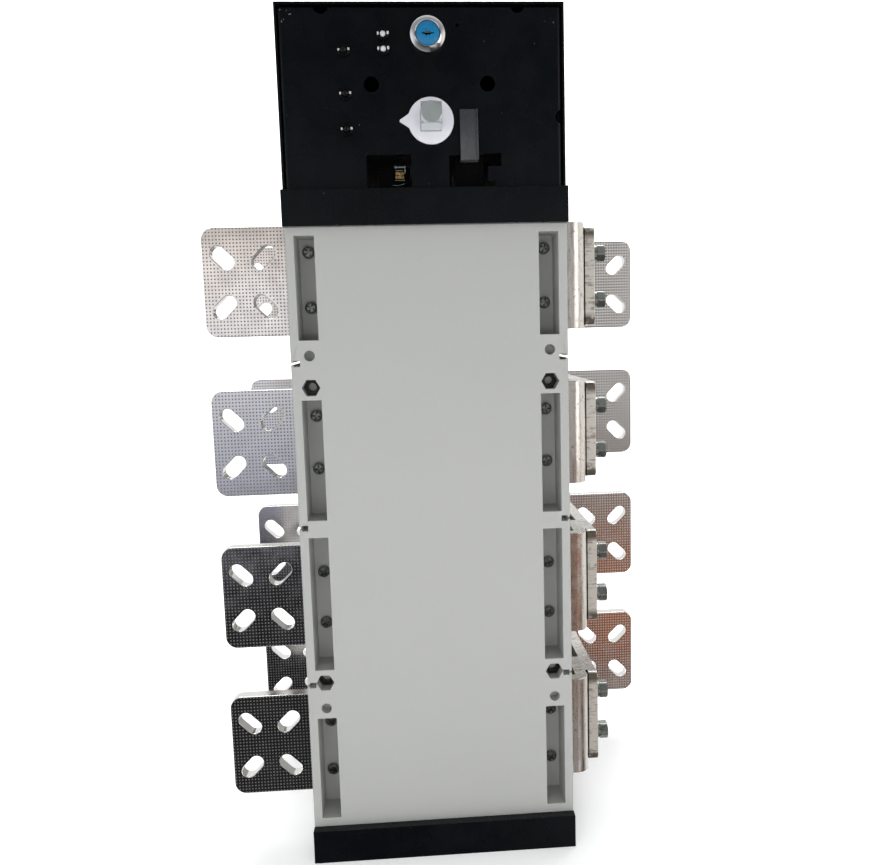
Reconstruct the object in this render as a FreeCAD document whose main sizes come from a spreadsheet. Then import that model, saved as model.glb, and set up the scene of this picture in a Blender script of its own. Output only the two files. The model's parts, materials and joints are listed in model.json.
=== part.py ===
"""Four-pole changeover switch with two sources, standing on end.

Frame: +Z runs up the stack of poles, the front faces -Y, and +X is the load side.
The origin is the centre of the underside of the base. Lengths are in millimetres.
Front and rear switch units are mirror images about the plane y = 0.
"""
import FreeCAD, Part
import math
import os
import re

import Sketcher
from FreeCAD import Placement, Rotation, Vector

# Driving dimensions, by the word that names each one in the sheet.
SIZES = {
    # stack of four poles
    "pole_pitch": 120, "first_pole": 78, "stack_low": 20, "stack_high": 495,
    "body_width": 200, "body_depth": 224, "cover_depth": 31.5, "edge_round": 1.5,
    # covers: pockets, recesses and barrier slots
    "cover_wall": 4, "pocket_margin": 6.5, "pocket_width": 14, "pocket_depth": 26,
    "pocket_low_1": 32, "pocket_high_1": 111.5, "pocket_low_2": 149.5, "pocket_high_2": 250.5,
    "pocket_low_3": 263.5, "pocket_high_3": 351.5, "pocket_low_4": 394.5, "pocket_high_4": 467.5,
    "hollow_half_width": 75, "wall_half": 3, "end_wall": 6,
    "blind_radius": 3.7, "blind_depth": 9, "blind_low": 119.5, "blind_high": 383.5,
    "recess_flats": 11.4, "recess_depth": 14, "recess_low": 139.5, "recess_high": 360.5,
    "slit_length": 2, "slit_height": 1.6, "tee_length": 4.5, "tee_height": 4,
    # cover screws and the nuts in the hexagonal recesses
    "screw_row": 20, "screw_head": 4.6, "screw_crown": 3.4, "screw_rise": 2.6, "screw_dome": 1,
    "screw_shank": 2.5, "screw_length": 24, "cross": 1, "cross_reach": 2.6, "cross_deep": 1.6,
    "recess_nut": 5, "recess_nut_bore": 3,
    # housings
    "side_wall": 6, "mid_wall": 3, "seat_x": 76, "seat_depth": 14, "seat_half": 30,
    "rod_x": 86, "rod_y": 20, "rod_radius": 4, "rod_gap": 0.2, "boss_half": 8,
    "shaft_window": 11,
    # terminals
    "bar_thick": 10, "pad": 80, "pad_round": 9, "bar_front": 80.5, "inner_end": 52,
    "pad_raise": 0.4, "line_pad_start": 101, "load_pad_start": 122,
    "line_reach": 65, "load_reach": 93.5, "slot_margin": 14.5, "slot_column": 30, "slot_row": 36,
    "slot_width": 11, "slot_length": 20, "fixing_hole": 5.5,
    # fixed knives and moving blades
    "shaft_y": 56, "knife": 6, "knife_pitch": 24, "knife_tip": 34, "knife_back": 46,
    "knife_front": 66, "knife_root": 66, "blade": 3.5, "blade_gap": 0.25, "blade_width": 16,
    "blade_reach": 50, "blade_eye": 15, "rest_angle": -45,
    "drum_radius": 18, "drum_half": 34, "square": 14, "square_gap": 0.1,
    "journal": 6, "journal_gap": 0.05, "bush_radius": 10, "flange_radius": 13,
    # stub, bridging bar and bolts
    "stub_reach": 120, "stub_back": 34, "bend_round": 10, "bridge": 76, "bridge_front": 65,
    "bridge_round": 4, "bridge_flange": 102, "relief": 1.8, "relief_length": 7.5,
    "bolt_y": 52, "bolt_row": 18, "rear_bolt_x": 110.5, "bolt_radius": 4, "bolt_hole": 4.5,
    "bolt_end": 2.5, "head_flats": 13, "head_height": 6.3, "washer": 1.6, "lock_washer": 2.1,
    "washer_radius": 7.2, "lock_washer_radius": 6.6, "nut_height": 6.5,
    # end frames
    "frame_sheet": 2.5, "frame_overhang": 7.5, "base_height": 25.5, "lip_low": 473,
    "web": 3, "spacer_radius": 9,
    "side_tab": 2, "side_tab_height": 16, "side_tab_half": 70, "rod_nut": 13, "rod_nut_height": 6.5,
    "rod_washer": 8, "rod_washer_thick": 1.6,
    # mechanism box
    "box_low": 498, "box_high": 622, "box_half": 99, "sheet": 1.6, "plate_front": 115,
    "plate_sheet": 2, "plate_half": 96.5, "plate_high": 618, "plate_bend": 2.5, "plate_flange": 14,
    "panel_back": 112, "box_screw_y": 50, "box_screw_z": 507, "box_screw_head": 3.6,
    "box_screw_rise": 1.8, "box_screw_shank": 1.6, "box_screw_hole": 2.2,
    # front plate furniture
    "shaft_x": 5, "shaft_z": 543, "shaft_front": 142, "shaft_round": 7, "shaft_bush": 10,
    "shaft_neck": 5, "lock_x": 4.5, "lock_z": 599.5, "lock_body": 9, "lock_ring": 12,
    "lock_plug": 6, "lock_face": 8, "hole_x": 40, "hole_z": 568, "hole_radius": 5.25,
    "lamp_x": 26, "lamp_z": 600.5, "lamp_pitch": 9.8, "bezel_radius": 4.7, "lens_radius": 2.4,
    "dark_x": 53, "dark_z_1": 590, "dark_z_2": 561.5, "dark_z_3": 538,
    "window_high": 521, "left_window_x": 40.5, "left_window": 31, "right_window_x": 17,
    "right_window": 27, "strip_x": 25, "strip": 12.5, "strip_sheet": 1.5, "strip_high": 550.5,
    "strip_low": 516.5, "strip_tail": 88, "disc_radius": 15.8, "disc": 2, "pointer": 21.5,
    "side_window_x": 41, "side_window": 12.5, "side_window_low": 512.5, "side_window_tall": 8.8,
    "foot_window_x": 43, "foot_window": 6.5, "foot_window_tall": 3.4,
    "pin_hole_x": 25, "pin_hole_z": 606.5, "pin_hole_radius": 1.2,
    "top_notch_1": -67.5, "top_notch_radius_1": 5, "top_notch_2": 66.5, "top_notch_radius_2": 4.5,
    "edge_notch_z": 545.5, "edge_notch_radius": 4.7, "plug_slot": 7.2, "plug_slot_tall": 1.6,
    # gears: tooth module, and teeth of the small and large wheels
    "module": 1.5, "small_teeth": 16, "large_teeth": 32, "rack_low": 503, "rack": 12,
    "rack_half": 33, "rib_front": 20, "rib": 12, "play": 0.16,
    "bracket_y": 36, "bracket_sheet": 3, "motor_offset": 36,
}
POLES = (1, 2, 3, 4)

doc = FreeCAD.newDocument("changeover_switch")
sheet = doc.addObject("Spreadsheet::Sheet", "Sizes")
for row, (word, number) in enumerate(SIZES.items(), start=1):
    sheet.set(f"A{row}", word)
    sheet.set(f"B{row}", str(number))
    sheet.setAlias(f"B{row}", word)
doc.recompute()

counter = {"made": 0}


def size(word):
    """The value of one cell of the sheet."""
    return float(sheet.get(word))


def formula(text):
    """A formula in the sheet's words, as a FreeCAD expression."""
    def cell(match):
        word = match.group(0)
        return "Sizes." + word if word in SIZES else word
    return re.sub(r"[a-z][a-z_0-9]*", cell, str(text))


def fresh(word):
    """A name for an inner step of the model."""
    counter["made"] += 1
    return f"{word}_{counter['made']:04d}"


def bind(obj, **formulas):
    for name, text in formulas.items():
        obj.setExpression(name, formula(text))
    return obj


def place(obj, x, y, z):
    for axis, text in zip("xyz", (x, y, z)):
        obj.setExpression("Placement.Base." + axis, formula(text))
    return obj


def block(x, y, z, dx, dy, dz):
    """A box from its low corner and its three sides."""
    obj = doc.addObject("Part::Box", fresh("block"))
    bind(obj, Length=dx, Width=dy, Height=dz)
    return place(obj, x, y, z)


TURNS = {
    "x": Rotation(Vector(0, 1, 0), 90),
    "y": Rotation(Vector(1, 0, 0), -90),
    "z": Rotation(),
}


def rod(axis, x, y, z, radius, length):
    """A cylinder that starts at (x, y, z) and runs along +axis."""
    obj = doc.addObject("Part::Cylinder", fresh("rod"))
    obj.Placement.Rotation = TURNS[axis]
    bind(obj, Radius=radius, Height=length)
    return place(obj, x, y, z)


def cone(axis, x, y, z, radius_1, radius_2, length):
    obj = doc.addObject("Part::Cone", fresh("cone"))
    obj.Placement.Rotation = TURNS[axis]
    bind(obj, Radius1=radius_1, Radius2=radius_2, Height=length)
    return place(obj, x, y, z)


def hexagon(axis, x, y, z, flats, length):
    """A hexagonal prism with a corner towards -Y or, along y, towards +X."""
    obj = doc.addObject("Part::Prism", fresh("hexagon"))
    obj.Polygon = 6
    spin = Rotation(Vector(0, 0, 1), 90 if axis == "x" else 0)
    obj.Placement.Rotation = TURNS[axis].multiply(spin)
    bind(obj, Circumradius=f"({flats}) / sqrt(3)", Height=length)
    return place(obj, x, y, z)


def fuse(*parts):
    obj = doc.addObject("Part::MultiFuse", fresh("fuse"))
    obj.Shapes = list(parts)
    return obj


def cut(base, *tools):
    obj = doc.addObject("Part::Cut", fresh("cut"))
    obj.Base = base
    obj.Tool = tools[0] if len(tools) == 1 else fuse(*tools)
    return obj


def group(*parts):
    """Separate solids that share one node."""
    obj = doc.addObject("Part::Compound", fresh("group"))
    obj.Links = list(parts)
    return obj


def mirror(source, normal=Vector(0, 1, 0)):
    """The same piece on the rear unit, or on the other side."""
    obj = doc.addObject("Part::Mirroring", fresh("mirror"))
    obj.Source = source
    obj.Base = Vector(0, 0, 0)
    obj.Normal = normal
    return obj


def feature(shape):
    """A worked-out shape, for outlines that follow a formula."""
    obj = doc.addObject("Part::Feature", fresh("feature"))
    obj.Shape = shape
    return obj


NODES = {}


def node(name, obj):
    obj.Label = name
    NODES[name] = obj
    return obj


def pole_z(pole):
    return f"first_pole + {pole - 1} * pole_pitch"


# ---------------------------------------------------------------- sketches

def sketch_on(body, role, offset):
    """A sketch on one of the body's own origin planes, moved along its normal."""
    plane = [item for item in body.Origin.OriginFeatures if item.Role == role][0]
    sketch = body.newObject("Sketcher::SketchObject", fresh("sketch"))
    sketch.AttachmentSupport = (plane, [""])
    sketch.MapMode = "FlatFace"
    sketch.setExpression("AttachmentOffset.Base.z", formula(offset))
    return sketch


def fix(sketch, kind, first, second, text):
    """A driving distance from the sheet between two points of a sketch."""
    index = sketch.addConstraint(Sketcher.Constraint(kind, *first, *second, 1.0))
    sketch.setExpression(f"Constraints[{index}]", formula(text))


ORIGIN = (-1, 1)


def rectangle(sketch, left, low, width, height):
    start = sketch.GeometryCount
    corners = [Vector(0, 0, 0), Vector(1, 0, 0), Vector(1, 1, 0), Vector(0, 1, 0)]
    for side in range(4):
        sketch.addGeometry(Part.LineSegment(corners[side], corners[(side + 1) % 4]), False)
    for side in range(4):
        ends = (start + side, 2, start + (side + 1) % 4, 1)
        sketch.addConstraint(Sketcher.Constraint("Coincident", *ends))
        level = "Horizontal" if side % 2 == 0 else "Vertical"
        sketch.addConstraint(Sketcher.Constraint(level, start + side))
    fix(sketch, "DistanceX", ORIGIN, (start, 1), left)
    fix(sketch, "DistanceY", ORIGIN, (start, 1), low)
    fix(sketch, "DistanceX", (start, 1), (start, 2), width)
    fix(sketch, "DistanceY", (start + 1, 1), (start + 1, 2), height)


def circle(sketch, x, y, radius):
    index = sketch.addGeometry(Part.Circle(Vector(1, 1, 0), Vector(0, 0, 1), 1), False)
    fix(sketch, "DistanceX", ORIGIN, (index, 3), x)
    fix(sketch, "DistanceY", ORIGIN, (index, 3), y)
    constraint = sketch.addConstraint(Sketcher.Constraint("Radius", index, 1.0))
    sketch.setExpression(f"Constraints[{constraint}]", formula(radius))


def new_body(name):
    return doc.addObject("PartDesign::Body", fresh(name))


def pad(body, sketch, length, reverse=False):
    step = body.newObject("PartDesign::Pad", fresh("pad"))
    step.Profile = sketch
    step.Reversed = reverse
    bind(step, Length=length)
    return step


def pocket(body, sketch, length, reverse=False):
    """A pocket that must take material away."""
    doc.recompute()
    before = body.Shape.Volume
    step = body.newObject("PartDesign::Pocket", fresh("pocket"))
    step.Profile = sketch
    step.Reversed = reverse
    bind(step, Length=length)
    doc.recompute()
    if step.Shape.Volume >= before - 1:
        raise RuntimeError(f"{body.Name}: a pocket cuts nothing")
    return step


def round_edges(body, radius, wanted):
    """Fillets on the edges of the body's tip that the test picks."""
    doc.recompute()
    tip = body.Tip
    names = [f"Edge{number}" for number, edge in enumerate(tip.Shape.Edges, start=1)
             if wanted(edge)]
    step = body.newObject("PartDesign::Fillet", fresh("fillet"))
    step.Base = (tip, names)
    bind(step, Radius=radius)
    return step


def along(edge, axis):
    """Whether a straight edge runs along an axis."""
    if not isinstance(edge.Curve, Part.Line):
        return False
    return abs(abs(edge.Curve.Direction.dot(axis)) - 1) < 1e-6


AXIS_X = Vector(1, 0, 0)
AXIS_Y = Vector(0, 1, 0)
AXIS_Z = Vector(0, 0, 1)


# ---------------------------------------------------------------- moulded body

def barrier_slots(y, depth):
    """T-shaped slots in both sides, at each boundary between two poles."""
    tools = []
    for pole in POLES[:-1]:
        middle = f"{pole_z(pole)} + pole_pitch / 2"
        for side in (-1, 1):
            edge = f"{side} * body_width / 2"
            slit_x = f"{edge} - slit_length" if side > 0 else f"{edge} - 1"
            tools.append(block(slit_x, y, f"{middle} - slit_height / 2",
                               "slit_length + 1", depth, "slit_height"))
            inner = f"{edge} - {side} * (slit_length + tee_length / 2) - tee_length / 2"
            tools.append(block(inner, y, f"{middle} - tee_height / 2",
                               "tee_length", depth, "tee_height"))
    return tools


def chamber(pole):
    """Low and high ends of a pole's inner space along the stack."""
    low = f"{pole_z(pole)} - pole_pitch / 2 + wall_half"
    high = f"{pole_z(pole)} + pole_pitch / 2 - wall_half"
    if pole == POLES[0]:
        low = "stack_low + end_wall"
    if pole == POLES[-1]:
        high = "stack_high - end_wall"
    return low, high


def pocket_x(side):
    """Low edge of the pocket on the given side (-1 left, 1 right)."""
    if side < 0:
        return "0 - body_width / 2 + pocket_margin"
    return "body_width / 2 - pocket_margin - pocket_width"


SCREW_X = "(body_width / 2 - pocket_margin - pocket_width / 2)"


def make_cover():
    front = "0 - body_depth / 2"
    body = new_body("cover")
    outline = sketch_on(body, "XZ_Plane", "body_depth / 2")
    rectangle(outline, "0 - body_width / 2", "stack_low", "body_width", "stack_high - stack_low")
    pad(body, outline, "cover_depth", reverse=True)
    round_edges(body, "edge_round",
                lambda edge: along(edge, AXIS_Z) and edge.CenterOfMass.y < -size("body_depth") / 2 + 1)
    pockets = sketch_on(body, "XZ_Plane", "body_depth / 2")
    for pole in POLES:
        for side in (-1, 1):
            rectangle(pockets, pocket_x(side), f"pocket_low_{pole}",
                      "pocket_width", f"pocket_high_{pole} - pocket_low_{pole}")
    pocket(body, pockets, "pocket_depth")
    blind = sketch_on(body, "XZ_Plane", "body_depth / 2")
    for side in (-1, 1):
        for height in ("blind_low", "blind_high"):
            circle(blind, f"{side} * {SCREW_X}", height, "blind_radius")
    pocket(body, blind, "blind_depth")
    tools = barrier_slots(f"{front} - 1", "cover_depth + 2")
    for pole in POLES:
        low, high = chamber(pole)
        tools.append(block("0 - hollow_half_width", f"{front} + cover_wall", low,
                           "2 * hollow_half_width", "cover_depth", f"({high}) - ({low})"))
        for side in (-1, 1):
            for step in (-1, 1):
                tools.append(rod("y", f"{side} * {SCREW_X}", f"{front} + pocket_depth - 1",
                                 f"{pole_z(pole)} + {step} * screw_row", "fixing_hole / 2",
                                 "cover_depth"))
    for side in (-1, 1):
        for height in ("recess_low", "recess_high"):
            tools.append(hexagon("y", f"{side} * {SCREW_X}", f"{front} - 1", height,
                                 "recess_flats", "recess_depth + 1"))
    return cut(body, *tools)


def make_housing():
    """Front unit's housing: four chambers, open towards the cover."""
    tools = barrier_slots("0 - bar_front - 1", "bar_front + 2")
    seats = []
    for pole in POLES:
        low, high = chamber(pole)
        tools.append(block("0 - body_width / 2 + side_wall", "0 - bar_front - 1", low,
                           "body_width - 2 * side_wall", "bar_front + 1 - mid_wall",
                           f"({high}) - ({low})"))
        tools.append(block("0 - body_width", "0 - bar_front - 1", f"{pole_z(pole)} - pad / 2",
                           "2 * body_width", "bar_thick + 1", "pad"))
        for side in (-1, 1):
            inner = "seat_x" if side > 0 else "0 - body_width / 2 + side_wall - 1"
            seats.append(block(inner, "0 - bar_front + bar_thick", f"{pole_z(pole)} - seat_half",
                               "body_width / 2 - side_wall + 1 - seat_x", "seat_depth",
                               "2 * seat_half"))
    shell = cut(block("0 - body_width / 2", "0 - bar_front", "stack_low", "body_width",
                      "bar_front", "stack_high - stack_low"), *tools)
    bosses = [block(inner, "0 - rod_y - boss_half", "stack_low + 1",
                    "body_width / 2 - side_wall + 1 + boss_half - rod_x", "2 * boss_half",
                    "stack_high - stack_low - 2")
              for inner in ("rod_x - boss_half", "0 - body_width / 2 + side_wall - 1")]
    holes = [rod("z", "0", "0 - shaft_y", "stack_low - 1", "bush_radius + 0.1", "end_wall + 2"),
             rod("z", "0", "0 - shaft_y", "stack_high - end_wall - 1", "bush_radius + 0.1",
                 "end_wall + 2"),
             rod("z", "0", "0 - shaft_y", "stack_low + end_wall + 10", "shaft_window",
                 "stack_high - stack_low - 2 * end_wall - 20")]
    for side in (-1, 1):
        holes.append(rod("z", f"{side} * rod_x", "0 - rod_y", "stack_low - 1",
                         "rod_radius + rod_gap", "stack_high - stack_low + 2"))
        for pole in POLES:
            for step in (-1, 1):
                holes.append(rod("y", f"{side} * {SCREW_X}", "0 - bar_front + bar_thick - 1",
                                 f"{pole_z(pole)} + {step} * screw_row", "screw_shank + 0.1",
                                 "seat_depth"))
    return cut(fuse(shell, *seats, *bosses), *holes)


def make_cover_screw(side, pole, step):
    """Pan-head screw with a cross recess, from a pocket's floor into the housing."""
    x = f"{side} * {SCREW_X}"
    z = f"{pole_z(pole)} + {step} * screw_row"
    floor = "0 - body_depth / 2 + pocket_depth"
    top = f"{floor} - screw_rise - screw_dome"
    head = fuse(rod("y", x, f"{floor} - screw_rise", z, "screw_head", "screw_rise"),
                cone("y", x, top, z, "screw_crown", "screw_head", "screw_dome"),
                rod("y", x, f"{floor} - 1", z, "screw_shank", "screw_length"))
    arms = [block(f"{x} - {wide} / 2", f"{top} - 1", f"{z} - {tall} / 2", wide, "cross_deep + 1", tall)
            for wide, tall in (("(2 * cross_reach)", "cross"), ("cross", "(2 * cross_reach)"))]
    return cut(head, *arms)


def make_recess_nut(side, height):
    x = f"{side} * {SCREW_X}"
    y = "0 - body_depth / 2 + recess_depth - recess_nut"
    return cut(hexagon("y", x, y, height, "recess_flats - 0.6", "recess_nut"),
               rod("y", x, f"{y} - 1", height, "recess_nut_bore", "recess_nut + 2"))


# ---------------------------------------------------------------- conductors

def slot_places(outer, side):
    """Centres of a pad's four slots, from its outer edge inwards, with the slant of each."""
    for column in (0, 1):
        x = f"{outer} - {side} * (slot_margin + {column} * slot_column)"
        for row in (-1, 1):
            outward = 1 if column == 0 else -1
            slant = row * outward * side
            yield x, row, slant


def slot_tool(x, y, z, slant):
    """A slot at 45 degrees, through a bar that lies across Y."""
    obj = doc.addObject("Part::Box", fresh("slot"))
    obj.Placement.Rotation = Rotation(Vector(0, 1, 0), -45 * slant)
    run = "(slot_length - slot_width)"
    bind(obj, Length=run, Width="bar_thick + 2", Height="slot_width")
    half_run = f"{run} / 2 / sqrt(2)"
    half_width = "slot_width / 2 / sqrt(2)"
    place(obj, f"({x}) - {half_run} + {slant} * {half_width}", f"{y} - 1",
          f"({z}) - {slant} * {half_run} - {half_width}")
    ends = [rod("y", f"({x}) + {end} * {half_run}", f"{y} - 1",
                f"({z}) + {end * slant} * {half_run}", "slot_width / 2", "bar_thick + 2")
            for end in (-1, 1)]
    return [obj] + ends


def knives(pole, side):
    """Three fixed contact knives behind the inner end of a terminal."""
    parts = []
    for step in (-1, 0, 1):
        z = f"{pole_z(pole)} + {step} * knife_pitch - knife / 2"
        root = "inner_end - 2" if side > 0 else "0 - knife_root"
        parts.append(block(root, "0 - bar_front + bar_thick", z, "knife_root - inner_end + 2",
                           "bar_front - bar_thick - knife_back", "knife"))
        tip = "knife_tip" if side > 0 else "0 - inner_end"
        parts.append(block(tip, "0 - knife_front", z, "inner_end - knife_tip",
                           "knife_front - knife_back", "knife"))
    return parts


def fixing_holes(pole, side):
    return [rod("y", f"{side} * {SCREW_X}", "0 - bar_front - 1",
                f"{pole_z(pole)} + {step} * screw_row", "fixing_hole / 2", "bar_thick + 2")
            for step in (-1, 1)]


def make_bar(pole, side, reach, pad_start):
    """Flat terminal with rounded outer corners, a raised contact pad, slots and fixed knives."""
    body = new_body("terminal")
    outline = sketch_on(body, "XZ_Plane", "bar_front + pad_raise")
    length = f"body_width / 2 + {reach} - inner_end"
    left = "inner_end" if side > 0 else f"0 - body_width / 2 - {reach}"
    rectangle(outline, left, f"{pole_z(pole)} - pad / 2", length, "pad")
    pad(body, outline, "bar_thick + pad_raise", reverse=True)
    limit = size("body_width") / 2 + 1
    round_edges(body, "pad_round",
                lambda edge: along(edge, AXIS_Y) and side * edge.CenterOfMass.x > limit)
    tools = fixing_holes(pole, side)
    low_x = "inner_end - 1" if side > 0 else f"0 - {pad_start}"
    tools.append(block(low_x, "0 - bar_front - 1", f"{pole_z(pole)} - pad / 2 - 1",
                       f"{pad_start} - inner_end + 1", "1", "pad + 2"))
    outer = f"{side} * (body_width / 2 + {reach})"
    for x, row, slant in slot_places(outer, side):
        tools += slot_tool(x, "0 - bar_front", f"{pole_z(pole)} + {row} * slot_row / 2", slant)
    if side > 0:
        for row in (-1, 1):
            tools.append(rod("y", "rear_bolt_x", "0 - bar_front - 1",
                             f"{pole_z(pole)} + {row} * bolt_row", "bolt_hole", "bar_thick + 2"))
    return cut(fuse(body, *knives(pole, side)), *tools)


def make_stub(pole):
    """Front load stub: flat, then bent towards the rear outside the housing."""
    body = new_body("stub")
    outline = sketch_on(body, "XY_Plane", f"{pole_z(pole)} - pad / 2")
    rectangle(outline, "inner_end", "0 - bar_front", "stub_reach - inner_end", "bar_front - stub_back")
    pad(body, outline, "pad")
    inside = sketch_on(body, "XY_Plane", f"{pole_z(pole)} + pad / 2")
    rectangle(inside, "inner_end - 1", "0 - bar_front + bar_thick", "stub_reach - bar_thick - inner_end + 1",
              "bar_front - stub_back")
    pocket(body, inside, "pad")
    corner = Vector(size("stub_reach"), -size("bar_front"), 0)
    round_edges(body, "bend_round", lambda edge: along(edge, AXIS_Z)
                and math.hypot(edge.CenterOfMass.x - corner.x, edge.CenterOfMass.y - corner.y) < 1)
    tools = fixing_holes(pole, 1)
    for row in (-1, 1):
        tools.append(rod("x", "stub_reach - bar_thick - 1", "0 - bolt_y",
                         f"{pole_z(pole)} + {row} * bolt_row", "bolt_hole", "bar_thick + 2"))
    return cut(fuse(body, *knives(pole, 1)), *tools)


def make_bridge(pole):
    """Bar from the front stub straight back, with a short flange on the rear load terminal.

    Its inner face is relieved at the front end, which leaves a narrow gap beside the stub's bend.
    """
    body = new_body("bridge")
    outline = sketch_on(body, "XY_Plane", f"{pole_z(pole)} - bridge / 2")
    rectangle(outline, "bridge_flange", "0 - bridge_front", "stub_reach + bar_thick - bridge_flange",
              "bridge_front + bar_front - bar_thick")
    pad(body, outline, "bridge")
    inside = sketch_on(body, "XY_Plane", f"{pole_z(pole)} + bridge / 2")
    rectangle(inside, "bridge_flange - 1", "0 - bridge_front - 1", "stub_reach - bridge_flange + 1",
              "bridge_front + 1 + bar_front - 2 * bar_thick")
    pocket(body, inside, "bridge")
    round_edges(body, "bridge_round",
                lambda edge: along(edge, AXIS_X) and edge.CenterOfMass.y < -size("bridge_front") + 1)
    round_edges(body, "bend_round", lambda edge: along(edge, AXIS_Z)
                and edge.CenterOfMass.x > size("stub_reach") + 9 and edge.CenterOfMass.y > 0)
    tools = [block("stub_reach - 1", "0 - bridge_front - 1", f"{pole_z(pole)} - bridge / 2 - 1",
                   "relief + 1", "relief_length + 1", "bridge + 2")]
    for row in (-1, 1):
        z = f"{pole_z(pole)} + {row} * bolt_row"
        tools.append(rod("x", "stub_reach - 1", "0 - bolt_y", z, "bolt_hole", "bar_thick + 2"))
        tools.append(rod("y", "rear_bolt_x", "bar_front - 2 * bar_thick - 1", z, "bolt_hole",
                         "bar_thick + 2"))
    return cut(body, *tools)


def make_bolt(axis, x, y, z, grip, sense):
    """Hexagon bolt with plain and spring washers; the head is on the `sense` side."""
    def shift(distance):
        moved = {"x": x, "y": y, "z": z}
        moved[axis] = f"({moved[axis]}) + ({distance})"
        return moved["x"], moved["y"], moved["z"]
    if sense > 0:
        washer_at, lock_at, head_at = "0", "washer", "washer + lock_washer"
        shank_at = f"0 - ({grip}) - nut_height - bolt_end"
    else:
        washer_at, lock_at = "0 - washer", "0 - washer - lock_washer"
        head_at = "0 - washer - lock_washer - head_height"
        shank_at = "0 - washer - lock_washer - 1"
    shank = rod(axis, *shift(shank_at), "bolt_radius",
                f"{grip} + nut_height + bolt_end + washer + lock_washer + 1")
    return fuse(rod(axis, *shift(washer_at), "washer_radius", "washer"),
                rod(axis, *shift(lock_at), "lock_washer_radius", "lock_washer"),
                hexagon(axis, *shift(head_at), "head_flats", "head_height"), shank)


def make_nut(axis, x, y, z):
    """Hexagon nut that starts at (x, y, z)."""
    start = {"x": x, "y": y, "z": z}
    before = dict(start)
    before[axis] = f"({before[axis]}) - 1"
    return cut(hexagon(axis, *start.values(), "head_flats", "nut_height"),
               rod(axis, *before.values(), "bolt_radius + 0.1", "nut_height + 2"))


# ---------------------------------------------------------------- rotors

LEVELS = [(step, face) for step in (-1, 0, 1) for face in (-1, 1)]


def blade_z(pole, step, face):
    """Underside of one blade of a pair that straddles a knife."""
    middle = f"{pole_z(pole)} + {step} * knife_pitch"
    return f"{middle} + {face} * (knife / 2 + blade_gap + blade / 2) - blade / 2"


def turned_block(z, length, width, height):
    """A bar centred on the contact shaft and turned to the rest angle."""
    obj = doc.addObject("Part::Box", fresh("turned"))
    angle = math.radians(size("rest_angle"))
    obj.Placement.Rotation = Rotation(Vector(0, 0, 1), size("rest_angle"))
    bind(obj, Length=length, Width=width, Height=height)
    along_x, along_y = math.cos(angle), math.sin(angle)
    half_l, half_w = f"({length}) / 2", f"({width}) / 2"
    return place(obj, f"0 - {half_l} * {along_x:.5f} + {half_w} * ({along_y:.5f})",
                 f"0 - shaft_y - {half_l} * ({along_y:.5f}) - {half_w} * {along_x:.5f}", z)


def make_blades():
    blades = []
    for pole in POLES:
        for step, face in LEVELS:
            z = blade_z(pole, step, face)
            outline = fuse(turned_block(z, "2 * blade_reach", "blade_width", "blade"),
                           rod("z", "0", "0 - shaft_y", z, "blade_eye", "blade"))
            eye = turned_block(f"{z} - 1", "square + square_gap", "square + square_gap", "blade + 2")
            blades.append(cut(outline, eye))
    return group(*blades)


def make_drums():
    drums = []
    for pole in POLES:
        z = f"{pole_z(pole)} - drum_half"
        tools = [turned_block(f"{z} - 1", "square + square_gap", "square + square_gap",
                              "2 * drum_half + 2")]
        for step, face in LEVELS:
            low = f"{blade_z(pole, step, face)} - 0.1"
            tools.append(turned_block(low, "3 * drum_radius", "blade_width + 0.4", "blade + 0.2"))
            tools.append(rod("z", "0", "0 - shaft_y", low, "blade_eye + 0.2", "blade + 0.2"))
        drums.append(cut(rod("z", "0", "0 - shaft_y", z, "drum_radius", "2 * drum_half"), *tools))
    return group(*drums)


def make_contact_shaft():
    middle = turned_block("stack_low + end_wall + 1", "square", "square",
                          "stack_high - stack_low - 2 * end_wall - 2")
    return fuse(middle, rod("z", "0", "0 - shaft_y", "6", "journal", "rack_low + rack - 1"))


def make_bush(low, flange_low):
    """Flanged bearing ring of a contact shaft, through an end wall."""
    outer = fuse(rod("z", "0", "0 - shaft_y", low, "bush_radius", "9"),
                 rod("z", "0", "0 - shaft_y", flange_low, "flange_radius", "2"))
    return cut(outer, rod("z", "0", "0 - shaft_y", f"{low} - 5", "journal + journal_gap", "20"))


def make_arc_chutes():
    """Splitter plates and their cheeks: one pack where each end of a blade set opens."""
    parts = []
    for pole in POLES:
        for x, y, count in (("0 - 75", "0 - 41", 8), ("55", "0 - 106.5", 5)):
            low = f"{pole_z(pole)} - 36"
            for index in range(count):
                parts.append(block(x, f"{y} + 2 + {4.2 * index:.1f}", low, "20", "1.2", "72"))
            for end in (f"{low} - 2", f"{pole_z(pole)} + 36"):
                parts.append(block(x, y, end, "20", f"{4.2 * count:.1f} + 1", "2"))
    return group(*parts)


# ---------------------------------------------------------------- end frames

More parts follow.
